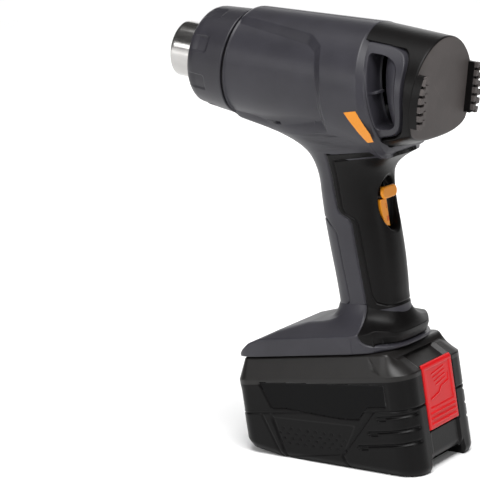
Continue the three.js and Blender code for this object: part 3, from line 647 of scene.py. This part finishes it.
build_intake(1, "intake_left_frame", ["intake_grille_left"])
build_intake(-1, "intake_right_frame", ["intake_grille_right"])


TEETH_PER_ROW = 6


def stand_pad(side, name, replaced):
    """Rubber block on the rim of the rear face, with two staggered rows of square teeth."""
    low, high, inner, middle, reach = -10.0, 20.5, 28.8, 32.2, 36.7
    block_depths = (CAP_REAR + 1.5, CAP_REAR - 4.2)
    tooth_depths = (CAP_REAR - 4, CAP_REAR - 6.1)
    pitch = (high - low) / TEETH_PER_ROW

    def rim(bottom, top, count):
        return [(math.sqrt(reach**2 - (h - CAP_RISE) ** 2), h) for h in np.linspace(bottom, top, count)]

    blocks = [([(inner, high), (inner, low)] + rim(low, high, 14), block_depths)]
    teeth = []
    for i in range(TEETH_PER_ROW):
        start = low + pitch * i
        top = start + pitch * 0.68
        teeth.append(([(middle, top), (middle, start)] + rim(start, top, 4), tooth_depths))
        bottom = start + pitch * 0.38
        top = min(start + pitch * 1.06, high)
        teeth.append(([(inner, top), (inner, bottom), (middle, bottom), (middle, top)], tooth_depths))

    def place(across, height, station):
        return barrel_to_tool(station, side * across, height)

    bevelled_blocks(name, blocks, place, "rubber", "tool", replaced, bevel=0.35, segments=2)
    # The teeth are coloured lighter grey than the rubber block: painted light standing in for light on their
    # rear faces.
    bevelled_blocks(name + "_teeth", teeth, place, "cap_face", "tool", replaced, bevel=0.25, segments=2)


stand_pad(1, "stand_pad_left_block", ["stand_pad_left"])
stand_pad(-1, "stand_pad_right_block", ["stand_pad_right"])


# --- handle ---
GRIP_TOP = 189.6
GRIP_BOTTOM = 94.0
PAD_BOTTOM = 96.0
GRIP_FRONT_LINE = [(-17.6, GRIP_TOP), (-18.4, 156.5), (-20.0, 153.2), (-25.6, 149.4)]
GRIP_FRONT_LINE += [(-27.0, 146), (-28.4, GRIP_BOTTOM)]
GRIP_INNER_STEP = 4.3
PAD_CORNERS = [(30, 150.5), (-7.5, 150.5), (-15.2, 142.2), (-17.4, 100), (-12, PAD_BOTTOM), (30, PAD_BOTTOM)]


def superellipse(angle):
    """Point of a unit squircle with the handle's roundness."""
    c, s = np.cos(angle), np.sin(angle)
    power = 2 / HANDLE_POWER
    return np.sign(c) * np.abs(c) ** power, np.sign(s) * np.abs(s) ** power


def grip_line_x(z):
    """Front edge of the rear grip, as x for each height."""
    xs, zs = zip(*reversed(GRIP_FRONT_LINE))
    return np.interp(z, zs, xs)


def handle_points(rows, columns):
    """Level rings up the handle, and each column's unit position on the ring."""
    z = np.linspace(86, 214, rows)[:, None]
    angle = np.linspace(0, 2 * math.pi, columns, endpoint=False)[None, :]
    front, rear = eased(z, HANDLE_FRONT), eased(z, HANDLE_REAR)
    width = eased(z, HANDLE_WIDTH)
    ux, uy = superellipse(angle)
    half = (front - rear) / 2
    x = (front + rear) / 2 + half * ux
    y = width * uy
    return x, y, z + 0 * angle, ux, uy


def build_handle():
    """Handle skin with its grooves and the switch's oval well, split into grip, pad and shells."""
    x, y, z, ux, uy = handle_points(430, 460)
    base = filleted(np.stack([x, y, z], -1))
    x, y, z = base[..., 0], base[..., 1], base[..., 2]
    grip_edge = path_distance(x, z, [(-70, GRIP_TOP)] + GRIP_FRONT_LINE)
    inner_line = [(-62, 185.6), (-22.6, 185.0), (-22.2, 183.5)]
    inner_line += [(px - GRIP_INNER_STEP, pz) for px, pz in GRIP_FRONT_LINE[1:-1]]
    inner_line += [(-33.0, 103), (-35, 98.2), (-40, 95.8), (-60, 94.4)]
    inner_edge = path_distance(x, z, inner_line)
    pad_inside = inside_convex(x, z, PAD_CORNERS, k=1.0)
    groove = 0.95 * ridge(grip_edge, 0.55) + 0.75 * ridge(inner_edge, 0.5)
    groove = groove + 0.7 * ridge(np.where(z > 95, pad_inside, 9), 0.42)
    groove = groove + 0.6 * ridge(z - 97.4, 0.3) * (x < -15) * (x > -29)
    proud = 0.35 * ramp(grip_line_x(z) - x, 0.6, 1.6) * (z < GRIP_TOP - 0.6)
    length = np.sqrt(ux**2 + uy**2)
    x = x - (groove - proud) * ux / length
    y = y - (groove - proud) * uy / length
    oval = np.sqrt((y / SWITCH_HALF_WIDTH) ** 2 + ((z - SWITCH_Z) / SWITCH_HALF_HEIGHT) ** 2)
    behind = ux < -0.3
    lip = ramp(1 - oval, 0.0, 0.085) * behind
    rounding = 0.8 * ramp(1 - oval, -0.09, 0.0) * (1 - lip) * behind
    x = x * (1 - lip) + WELL_FLOOR_X * lip + rounding
    points = np.stack([x, y, z], -1)
    for centre_x, centre_z in SCREW_WELLS:
        screw_well(points, centre_x, centre_z)
    face_x, face_y, face_z = np.moveaxis(points[:-1], -1, 0)
    well = (oval[:-1] < 0.955) & behind
    stem_slot = (np.abs(face_y) < STEM_SLOT_HALF_WIDTH) & (oval[:-1] < 0.9)
    stem_slot &= np.abs(face_z - SWITCH_Z - 0.3) < STEM_SLOT_HALF_HEIGHT
    is_grip = (face_x < grip_line_x(face_z)) & (face_z < GRIP_TOP) & (face_z > GRIP_BOTTOM) & ~well
    is_pad = (pad_inside[:-1] > 0) & (face_z > PAD_BOTTOM)
    shell = ~well & ~is_grip & ~is_pad
    for name, look, keep, replaced in (
        ("switch_well", "black_plastic", well & ~stem_slot, ["switch_bezel"]),
        ("rear_grip_skin", "rubber", is_grip, ["rear_grip"]),
        ("front_pad_skin", "housing", is_pad & ~is_grip, ["front_pad"]),
        ("handle_shell_left", "housing", shell & (face_y >= 0), ["housing_left"]),
        ("handle_shell_right", "housing", shell & (face_y < 0), ["housing_right"]),
    ):
        grid_piece(name, points, look, "tool", replaced, keep=keep)


build_handle()


# --- switch ---
def rear_plate(a, b, depth):
    """(across, height) outline on the back of the handle, depth counted along X."""
    return (depth, a, b)


KNOB_Z = SWITCH_Z + 7
KNOB_ROUND = 3.6
KNOB_END = 4.9
KNOB_SHIFT = 1.4
knob_outline = arc(KNOB_SHIFT + KNOB_END, KNOB_Z, KNOB_ROUND, KNOB_ROUND, -90, 90, 12)
knob_outline += arc(KNOB_SHIFT - KNOB_END, KNOB_Z, KNOB_ROUND, KNOB_ROUND, 90, 270, 12)
stem = [(-1.7, KNOB_Z - 3), (1.7, KNOB_Z - 3), (1.7, KNOB_Z + 3), (-1.7, KNOB_Z + 3)]
knob_blocks = [(knob_outline, (-46.2, -43.9)), (stem, (-44.2, -35.0))]
bevelled_blocks("switch_knob", knob_blocks, rear_plate, "orange", "switch", ["switch_slider"],
                bevel=0.9, segments=5)


def scale_edge(z):
    """Outer edge of the printed strip, just inside the oval well."""
    return 0.91 * SWITCH_HALF_WIDTH * math.sqrt(1 - ((z - SWITCH_Z) / SWITCH_HALF_HEIGHT) ** 2)


SCALE_FACE_X = -43.5
scale_outline = [(2.3, 158.5), (2.3, 141.8)] + [(scale_edge(z), z) for z in np.linspace(142.5, 158.5, 10)]
bevelled_prism("switch_scale_strip", scale_outline, (SCALE_FACE_X, -39.5), rear_plate, "orange", "tool",
               ["switch_scale"], bevel=0.5)
mark_depths = (SCALE_FACE_X - 0.08, SCALE_FACE_X + 0.3)
for name, mark_y, mark_z in (
    ("step_mark_1_a", 3.9, SWITCH_Z - 1.0),
    ("step_mark_2_a", 3.2, SWITCH_Z - 8.5),
    ("step_mark_2_b", 4.6, SWITCH_Z - 8.5),
):
    bar = [(mark_y - 0.3, mark_z - 1.6), (mark_y + 0.3, mark_z - 1.6)]
    bar += [(mark_y + 0.3, mark_z + 1.6), (mark_y - 0.3, mark_z + 1.6)]
    bevelled_prism(name, bar, mark_depths, rear_plate, "mark", "tool", bevel=0.05, segments=1)


# --- foot ---
FOOT_CENTRE_X = -24.0
RAIL_HALF_NECK = 21.9
RAIL_HALF_HEAD = 26.9
RAIL_STEP = 76.1
RAIL_TOP = 79.3
FOOT_TOP = 89.3
FOOT_FLAT_HALF_WIDTH = 19.0
FOOT_SIDE_SLOPE = 7.3 / 15.5
NECK_HALF_LENGTH = 20.7
NECK_HALF_WIDTH = 17.9
SKIRT_FRONT_X = -28.6
FOOT_SIDE_PROFILE = [(-60, 74.0), (-52, 78.2), (-44, 82.8), (-24, FOOT_TOP), (12, FOOT_TOP), (31, 85.8)]
FOOT_SIDE_PROFILE += [(49, 79.7), (57, 74.6), (60, 72.6)]


def foot_reach(angle):
    """Distance from the handle's middle to the foot's outline, corners rounded."""
    c, s = np.cos(angle), np.sin(angle)
    ahead = (58 - FOOT_CENTRE_X) / np.maximum(c, 1e-3)
    behind = (-52 - FOOT_CENTRE_X) / np.minimum(c, -1e-3)
    sideways = 34.5 / np.maximum(np.abs(s), 1e-3)
    reach = smooth_min(np.minimum(ahead, 400), np.minimum(sideways, 400), 16)
    oval = 1 / np.sqrt((c / 28.3) ** 2 + (s / 36.0) ** 2)
    rear = smooth_min(oval, np.minimum(np.minimum(behind, 400), np.minimum(sideways, 400)), 5)
    return np.where(c > 0, reach, rear)


def foot_deck(x, y):
    """Height of the foot's top, sloping down to the nose and to both sides."""
    along, heights = zip(*FOOT_SIDE_PROFILE)
    fall = np.maximum(0, np.abs(y) - FOOT_FLAT_HALF_WIDTH) * FOOT_SIDE_SLOPE
    return smooth_min(np.interp(x, along, heights), FOOT_TOP - fall, 1.4)


def rim_height(x):
    """Top of the grey rim below the rubber skirt."""
    return 75.6 - 2.0 * ramp(-x, 36, 51)


def build_foot():
    """Foot from its lower edge up to the handle's neck, with the skirt and the rails' mouth split off."""
    angle = np.linspace(0, 2 * math.pi, 520, endpoint=False)[None, :]
    c, s = np.cos(angle), np.sin(angle)
    reach = foot_reach(angle)
    share = (np.abs(c) / NECK_HALF_LENGTH) ** HANDLE_POWER + (np.abs(s) / NECK_HALF_WIDTH) ** HANDLE_POWER
    neck = 1 / share ** (1 / HANDLE_POWER)

    edge_x = FOOT_CENTRE_X + reach * c
    edge_z = foot_deck(edge_x, reach * s) - 0.4
    band = np.linspace(0, 1, 26)[:, None]
    band_z = FOOT_BOTTOM + 0.2 + (edge_z - FOOT_BOTTOM - 0.9) * band
    above_rim = band_z - rim_height(edge_x)
    at_skirt = ramp(-edge_x - 34, 0, 10)
    tuck = 2.3 * at_skirt * np.clip(1 - above_rim / 5.0, 0, 1) * ramp(above_rim, -0.5, 0.3)
    band_r = reach - 0.2 - tuck - 0.5 * ridge(band, 0.05)

    inward = np.linspace(0, 1, 90)[1:, None] ** 0.9
    top_r = reach + (neck - 0.6 - reach) * inward
    fillet = 9.5 * np.exp(-np.maximum(top_r - neck, 0) / 3.4)
    top_z = foot_deck(FOOT_CENTRE_X + top_r * c, top_r * s) + fillet - 0.25 * (inward < 0.03)

    r = np.concatenate([band_r, top_r])
    z = np.concatenate([band_z, top_z])
    x, y = FOOT_CENTRE_X + r * c, r * s
    diagonal = ((z - 80.5) * 8.5 + (SKIRT_FRONT_X - x) * 7.0) / math.hypot(8.5, 7.0)
    skirt_inside = smooth_min(SKIRT_FRONT_X - x, z - rim_height(x), 0.2)
    skirt_inside = smooth_min(skirt_inside, diagonal, 2.5)
    seam = 0.8 * ridge(skirt_inside, 0.5)
    x, y = x - seam * c, y - seam * s
    points = np.stack([x, y, z], -1)
    skirt = (skirt_inside > 0)[:-1]
    rail_half_width = np.where(z > RAIL_STEP, RAIL_HALF_HEAD, RAIL_HALF_NECK)
    mouth = ((np.abs(y) < rail_half_width) & (z < RAIL_TOP + 0.2) & (x < FOOT_CENTRE_X))[:-1]
    for name, look, keep, body, replaced in (
        ("foot_skin", "housing", ~skirt & ~mouth, "tool", ["foot_shell"]),
        ("grip_skirt_skin", "rubber", skirt & ~mouth, "tool", ["grip_skirt"]),
        ("rail_head_end", "rubber", mouth & skirt, "battery", ["battery_upper_case"]),
        ("rail_head_rim", "housing", mouth & ~skirt, "battery", ["battery_upper_case"]),
    ):
        grid_piece(name, points, look, body, replaced, keep=keep)


build_foot()


# --- battery pack ---
REAR_CORNER = 14.0
NOSE_CORNER = 9.0


def pack_outline(step):
    """Plan outline and outward normals, mirrored about Y so that it can be filled straight across."""
    half_length, half_width = PACK_HALF_LENGTH, PACK_HALF_WIDTH
    points, normals = [], []

    def line(ax, ay, bx, by, nx, ny):
        count = max(2, round(math.hypot(bx - ax, by - ay) / step))
        for i in range(count):
            points.append((ax + (bx - ax) * i / count, ay + (by - ay) * i / count))
            normals.append((nx, ny))

    def corner(cx, cy, radius, start):
        count = max(6, round(radius * math.pi / 2 / step))
        for i in range(count):
            a = math.radians(start + 90 * i / count)
            points.append((cx + radius * math.cos(a), cy + radius * math.sin(a)))
            normals.append((math.cos(a), math.sin(a)))

    front, rear = half_length - NOSE_CORNER, -half_length + REAR_CORNER
    line(half_length, 0, half_length, half_width - NOSE_CORNER, 1, 0)
    corner(front, half_width - NOSE_CORNER, NOSE_CORNER, 0)
    line(front, half_width, rear, half_width, 0, 1)
    corner(rear, half_width - REAR_CORNER, REAR_CORNER, 90)
    line(-half_length, half_width - REAR_CORNER, -half_length, 0, -1, 0)
    upper = list(zip(points, normals))
    mirrored = [((x, -y), (nx, -ny)) for (x, y), (nx, ny) in reversed(upper[1:])]
    ring = upper + [((-half_length, 0), (-1, 0))] + mirrored
    return np.array([p for p, _ in ring]), np.array([n for _, n in ring])


def underside(x):
    """Underside of the pack: flat on the floor, turning up near the nose."""
    return UNDERSIDE_Z + math.tan(LEAN) * x + 0.16 * np.maximum(0, x - 34)


LABEL_MAIN = [(43, 56.5), (-44.5, 53.4), (-44.2, 39.8), (36, 39.8)]
LABEL_DIP = [(36, 41.5), (-32.6, 41.5), (-24.4, 32.6), (-10, 33.4)]
DIMPLE_ORIGIN = (29.5, 28.2)
DIMPLE_PITCH = 5.6
DIMPLE_ROW_PITCH = 2.95
SIDE_DEPTH = 6.0
PLAN_STEP = 0.62
LEVEL_ROWS_FROM = 26.0
BUTTON_RECESS = 4.7
BUTTON_EDGE_X = -PACK_HALF_LENGTH + 1.2
FEET_RISE = 6.5
FEET_INNER_Y = 20.5
BOTTOM_INSET = 2.6
LOWEST_LEVEL = -5.0
REAR_DECK_DROP = 4.5
GRIP_GROOVES = [(-36.5, 33.9), (-29.5, 25.0), (-21.5, 16.6)]


def label_depth(x, z):
    """Signed distance inside the label window's outline, seen from the side."""
    return np.maximum(inside_convex(x, z, LABEL_MAIN, k=0.8), inside_convex(x, z, LABEL_DIP, k=0.8))


def dimples(x, z):
    """Four slanted rows of round dimples, every other row shifted by half a pitch."""
    first_x, first_z = DIMPLE_ORIGIN
    column = (first_x - x) / DIMPLE_PITCH
    row = (first_z - 0.125 * (first_x - x) - z) / DIMPLE_ROW_PITCH
    nearest = np.round(row)
    shift = 0.5 * (np.mod(nearest, 2) == 1)
    across = (column - shift - np.round(column - shift)) * DIMPLE_PITCH
    down = (row - nearest) * DIMPLE_ROW_PITCH
    bounds = (nearest >= 0) & (nearest <= 3) & (column > -0.6) & (column < 7.7)
    return bounds * 0.75 * ramp(0.95 - np.hypot(across, down), 0, 0.6)


def pack_relief(x, y, z):
    """Depth of everything pressed into the pack's side walls."""
    side = np.abs(y) > PACK_HALF_WIDTH - SIDE_DEPTH
    label = label_depth(x, z)
    depth = 0.75 * ridge(z - PACK_SEAM, 0.42) * (1 - side * (label > 0))
    depth = depth + side * 1.0 * ramp(label, -0.25, 0.35)
    step = np.clip((54.5 - z) / 3.0, 0, 1) * ramp(z, 38, 39) * (label < 0)
    depth = depth + side * 0.35 * step * ramp(x, -48, -46)
    notch = inside_convex(x, z, [(-33.5, 70.5), (-43.5, 58.4), (-37.0, 62.0)], k=0.3)
    depth = depth + side * 1.6 * np.clip(notch / 2.4, 0, 1)
    field = inside_convex(x, z, [(38, 35.6), (-22, 29.5), (-10.5, 11.2), (30.5, 9.5)], k=1.5)
    depth = depth + side * 0.55 * ramp(field, 0.0, 0.9)
    depth = depth + side * dimples(x, z)
    for line, deep, wide in (
        ([(43.6, 37.4), (33.2, 10.5)], 0.55, 0.5),
        ([(36.5, 37.4), (29.6, 9.0)], 0.45, 0.5),
        ([(-35.0, 37.4), (-9.9, 11.2), (-13.5, 2.4)], 0.95, 0.6),
    ):
        depth = depth + side * deep * ridge(path_distance(x, z, line), wide) * (z < PACK_SEAM)
    for start, height in GRIP_GROOVES:
        level = height + 0.03 * (start - x)
        along = (x < start) & (x > -PACK_HALF_LENGTH + 0.4)
        lower = ridge(z - level, 0.75)
        short = ridge(z - level + 1.5, 0.6) * (x < start - 1) * (x > start - 7)
        depth = depth + 1.15 * np.maximum(lower, short) * along
    rear = x < -PACK_HALF_LENGTH + 4
    window = np.minimum(BUTTON_HALF_WIDTH + 0.9 - np.abs(y), z - BUTTON_BOTTOM + 0.8)
    depth = depth + rear * BUTTON_RECESS * ramp(window, -0.2, 0.5)
    below = np.minimum(BUTTON_HALF_WIDTH - np.abs(y), BUTTON_BOTTOM - z)
    depth = depth + rear * 1.3 * ramp(below, 0.2, 1.2)
    return depth


def build_pack():
    """Side walls of the pack in one grid, split into lower case, upper case, shoulder and labels."""
    plan, normal = pack_outline(PLAN_STEP)
    px, py = plan[None, :, 0], plan[None, :, 1]
    nx, ny = normal[None, :, 0], normal[None, :, 1]
    v = np.linspace(0, 1, 150)[:, None]
    arch = FEET_RISE * ramp(FEET_INNER_Y - np.abs(py), 0, 1.2) * ramp(-px, 57, 59)
    low = underside(px) + arch
    level = LOWEST_LEVEL + (PACK_DECK - LOWEST_LEVEL) * v
    squeezed = (level - LOWEST_LEVEL) / (LEVEL_ROWS_FROM - LOWEST_LEVEL)
    z = np.where(level > LEVEL_ROWS_FROM, level, low + (LEVEL_ROWS_FROM - low) * squeezed)
    wide_px, wide_py = np.broadcast_to(px, z.shape), np.broadcast_to(py, z.shape)
    shoulder = np.clip((z - PACK_SHOULDER) / (PACK_DECK - PACK_SHOULDER), 0, 1)
    rearward = ramp(-px, 42, 60)
    inset = (5.6 + 5.0 * rearward) * shoulder + 0.9 * ramp(shoulder, 0.93, 1.0)
    inset = inset + BOTTOM_INSET * np.clip(1 - (z - low) / 5.0, 0, 1) ** 2
    inset = inset + pack_relief(wide_px, wide_py, z)
    x, y = px - nx * inset, py - ny * inset
    points = np.stack([x, y, z - REAR_DECK_DROP * rearward * shoulder], -1)

    upper = (z > PACK_SEAM)[:-1]
    sloped = (z > PACK_SHOULDER - 3.3)[:-1]
    window = ((label_depth(wide_px, z) > 0.1) & (np.abs(wide_py) > PACK_HALF_WIDTH - SIDE_DEPTH))[:-1]
    grid_piece("pack_shoulder_skin", points, "shoulder", "battery", ["battery_upper_case"],
               keep=sloped & ~window, fill_last=True)
    for name, look, keep, replaced in (
        ("pack_upper_skin", "black_plastic", upper & ~sloped & ~window, ["battery_upper_case"]),
        ("pack_lower_skin", "black_plastic", ~upper & ~window, ["battery_lower_case"]),
        ("label_window_left", "gloss_black", window & (y[:-1] > 0), ["label_left"]),
        ("label_window_right", "gloss_black", window & (y[:-1] < 0), ["label_right"]),
    ):
        grid_piece(name, points, look, "battery", replaced, keep=keep)


build_pack()


def build_underside():
    """Bottom of the pack, hollowed out between its two rear feet."""
    plan, normal = pack_outline(PLAN_STEP)
    rim = (plan - normal * BOTTOM_INSET)[: len(plan) // 2 + 1]
    x, half_width = rim[:, 0][:, None], rim[:, 1][:, None]
    y = half_width * np.linspace(-1, 1, 140)[None, :]
    between = ramp(FEET_INNER_Y - np.abs(y), 0, 1.2) * ramp(-x, 47, 49)
    z = underside(x) + FEET_RISE * between + 0 * y
    points = np.stack([x + 0 * y, y, z], -1)
    grid_piece("pack_underside", points, "black_plastic", "battery", ["battery_lower_case"], closed=False)


build_underside()


def along_rails(y, z, x):
    """(across, height) outline, depth counted along the rails."""
    return (x, y, z)


def tee_outline(neck, head, bottom, step, top, notches=()):
    """T-shaped section of the slide rails. notches in its top are (half width, centre, floor)."""
    outline = [(-neck, bottom), (neck, bottom), (neck, step), (head, step), (head, top)]
    for half, centre, floor in notches:
        right, left = centre + half, centre - half
        outline += [(right, top), (right, floor), (left, floor), (left, top)]
    return outline + [(-head, top), (-head, step), (-neck, step)]


def build_rails():
    """Slide head on the pack's deck, and the channel in the foot that it runs in."""
    bottom = PACK_DECK - 0.5
    contacts = [(1.2, 8, 72.6), (1.2, -8, 72.6)]
    section = (RAIL_HALF_NECK, RAIL_HALF_HEAD, bottom, RAIL_STEP, RAIL_TOP)
    blocks = [
        (tee_outline(*section, contacts), (3, 37.9)),
        (tee_outline(*section), (-27, 3)),
        (tee_outline(*section, [(9, 0, 74.2)]), (-42, -27)),
    ]
    bevelled_blocks("pack_rail_head", blocks, along_rails, "black_plastic", "battery",
                    ["battery_upper_case"], bevel=0.25)
    play = 0.3
    neck, head, step, top = RAIL_HALF_NECK + play, RAIL_HALF_HEAD + play, RAIL_STEP - play, RAIL_TOP + play
    mouth, outer, ceiling = FOOT_BOTTOM + play, 31, RAIL_TOP + 2 * play
    channel = tee_outline(neck, head, mouth, step, top)
    outline = [(-outer, mouth), channel[0], *channel[:0:-1]]
    outline += [(outer, mouth), (outer, ceiling), (-outer, ceiling)]
    bevelled_prism("rail_channel", outline, (-38, 46), along_rails, "black_plastic", "tool",
                   ["foot_shell"], bevel=0.15, segments=2)


build_rails()


def build_button():
    """Red release button: framed plate with slanted lines, and finger ribs below it."""
    across = np.linspace(-BUTTON_HALF_WIDTH, BUTTON_HALF_WIDTH, 160)
    y, z = np.meshgrid(across, np.linspace(BUTTON_BOTTOM, BUTTON_TOP, 190), indexing="ij")
    x = np.full(y.shape, -PACK_HALF_LENGTH - 0.5)
    x = x + np.clip((z - PACK_SHOULDER) / 2.0, 0, 1) * 0.9
    plate = np.minimum(14.2 - np.abs(y), np.minimum(z - 33.0, 57.0 - z))
    x = x + 0.55 * ramp(plate, 0, 0.7)
    for i in range(3):
        x = x - 0.8 * ridge(z - (BUTTON_BOTTOM + 3.2 + 3.1 * i), 0.55) * ramp(15.2 - np.abs(y), 0, 1.0)
    for i in range(4):
        line = path_distance(y, z, [(7.5 - 1.2 * i, 52.5 - 2.4 * i), (-7.5, 54.5 - 2.4 * i)])
        x = x - 0.35 * ridge(line, 0.4)
    step = path_distance(y, z, [(11, 38.2), (1.5, 40.2), (-1.5, 43.2), (-11, 45.0), (-11, 49)])
    x = x - 0.45 * ridge(step, 0.45)
    edge = np.minimum(BUTTON_HALF_WIDTH - np.abs(y), np.minimum(z - BUTTON_BOTTOM, BUTTON_TOP - z))
    x = x + 1.0 * (1 - np.sqrt(np.clip(1 - (1 - np.clip(edge, 0, 1)) ** 2, 0, 1)))
    points = np.pad(np.stack([x, y, z], -1), ((1, 1), (1, 1), (0, 0)), mode="edge")
    points[[0, -1], :, 0] = BUTTON_EDGE_X
    points[:, [0, -1], 0] = BUTTON_EDGE_X
    grid_piece("release_button_face", points, "red", "button", ["release_button"], closed=False)


build_button()


# --- orange flash on the barrel ---
PRINT_THICKNESS = 0.12


def accent(side, name):
    """Printed slanted flash on the housing's flank, following its surface."""
    station = np.linspace(-45, -76, 140)[:, None]
    around = np.linspace(1.2, 2.9, 260)[None, :]
    radius = housing_radius(station, around) + PRINT_THICKNESS
    points = barrel_to_tool(station, side * radius * np.sin(around), radius * np.cos(around) + HOUSING_RISE)
    x, z = points[..., 0], points[..., 2]
    bar = inside_convex(x, z, [(-45.0, 215), (-53.8, 215.2), (-61.4, 196.2), (-54.4, 195.6)], k=0.4)
    base = inside_convex(x, z, [(-45.2, 200.2), (-47.6, 194.6), (-61.6, 193.4), (-61.0, 197.6)], k=0.4)
    keep = ((np.maximum(bar, base) > 0) & (x > HOUSING_REAR_X + 0.6))[:-1, :-1]
    grid_piece(name, points, "orange", "tool", closed=False, keep=keep)


accent(1, "accent_flash_left")
accent(-1, "accent_flash_right")


# --- CAD nodes that still show ---
slot_of_node = {part["node"]: part["material_slot"] for part in frame["record"]["subparts"]}
for name, obj in frame["nodes"].items():
    obj.data.materials.clear()
    obj.data.materials.append(LOOKS[slot_of_node[name]])


# --- stage, light and camera ---
FLOOR_REACH = 6.0


def make_floor():
    """Plain pale floor that fades into the bright surroundings."""
    material, tree, shader = new_material("pale_floor")
    coords = node(tree, "ShaderNodeTexCoord")
    cloud = node(tree, "ShaderNodeTexNoise", Scale=3.0, Detail=4.0)
    tree.links.new(coords.outputs["Object"], cloud.inputs["Vector"])
    colour = blend_colour(tree, cloud.outputs["Fac"], (0.86, 0.86, 0.86), (0.9, 0.9, 0.9))
    tree.links.new(colour, shader.inputs["Base Color"])
    shader.inputs["Roughness"].default_value = 0.8
    mesh = bpy.data.meshes.new("floor")
    corners = [(FLOOR_REACH * x, FLOOR_REACH * y, 0) for x, y in ((-1, -1), (1, -1), (1, 1), (-1, 1))]
    mesh.from_pydata(corners, [], [(0, 1, 2, 3)])
    mesh.materials.append(material)
    floor = bpy.data.objects.new("floor", mesh)
    bpy.context.scene.collection.objects.link(floor)


def area_light(name, place, size, power, aim=(0.02, 0.0, 0.16)):
    """Soft rectangular light aimed at the middle of the gun."""
    light = bpy.data.lights.new(name, "AREA")
    light.shape = "RECTANGLE"
    light.size, light.size_y = size
    light.energy = power
    obj = bpy.data.objects.new(name, light)
    obj.location = place
    obj.rotation_euler = (Vector(aim) - Vector(place)).to_track_quat("-Z", "Y").to_euler()
    bpy.context.scene.collection.objects.link(obj)


def make_sun():
    """Wide overhead light that keeps the floor white."""
    sun = bpy.data.lights.new("overhead", "SUN")
    sun.energy = 3.7
    sun.angle = math.radians(40)
    obj = bpy.data.objects.new("overhead", sun)
    obj.rotation_euler = (math.radians(-14), math.radians(-12), 0)
    bpy.context.scene.collection.objects.link(obj)


def make_camera():
    """Camera behind the gun's left, slightly above, as the photograph was taken."""
    azimuth, elevation, roll = math.radians(213.55), math.radians(12.69), math.radians(-1.58)
    distance, aim, lens = 1.4455, Vector((0.0654, 0.0298, 0.1296)), 180.36
    level = math.cos(elevation)
    back = Vector((math.sin(azimuth) * level, -math.cos(azimuth) * level, math.sin(elevation)))
    right = Vector((math.cos(azimuth), math.sin(azimuth), 0))
    up = back.cross(right)
    turned_right = right * math.cos(roll) + up * math.sin(roll)
    turned_up = up * math.cos(roll) - right * math.sin(roll)
    data = bpy.data.cameras.new("camera")
    data.sensor_width = 36
    data.lens = lens
    camera = bpy.data.objects.new("camera", data)
    basis = Matrix((turned_right, turned_up, back)).transposed().to_4x4()
    camera.matrix_world = Matrix.Translation(aim + back * distance) @ basis
    bpy.context.scene.collection.objects.link(camera)
    bpy.context.scene.camera = camera


make_floor()
area_light("rear_key", (-1.35, 0.45, 0.7), (0.5, 0.9), 5)
area_light("left_strip", (0.25, 1.3, 0.75), (1.3, 0.3), 8)
area_light("left_low", (0.9, 1.2, 0.1), (0.5, 0.7), 1.5)
area_light("top", (0.1, 0.1, 1.3), (0.9, 0.5), 2.5)
area_light("right_fill", (0.2, -1.3, 0.6), (0.9, 0.9), 2)
area_light("far_rim", (0.95, -1.45, 0.62), (1.7, 0.8), 6)
make_sun()
make_camera()

world = bpy.data.worlds.new("studio")
world.use_nodes = True
world.node_tree.nodes["Background"].inputs["Color"].default_value = (1, 1, 1, 1)
world.node_tree.nodes["Background"].inputs["Strength"].default_value = 0.07
bpy.context.scene.world = world
bpy.context.scene.view_settings.view_transform = "Standard"
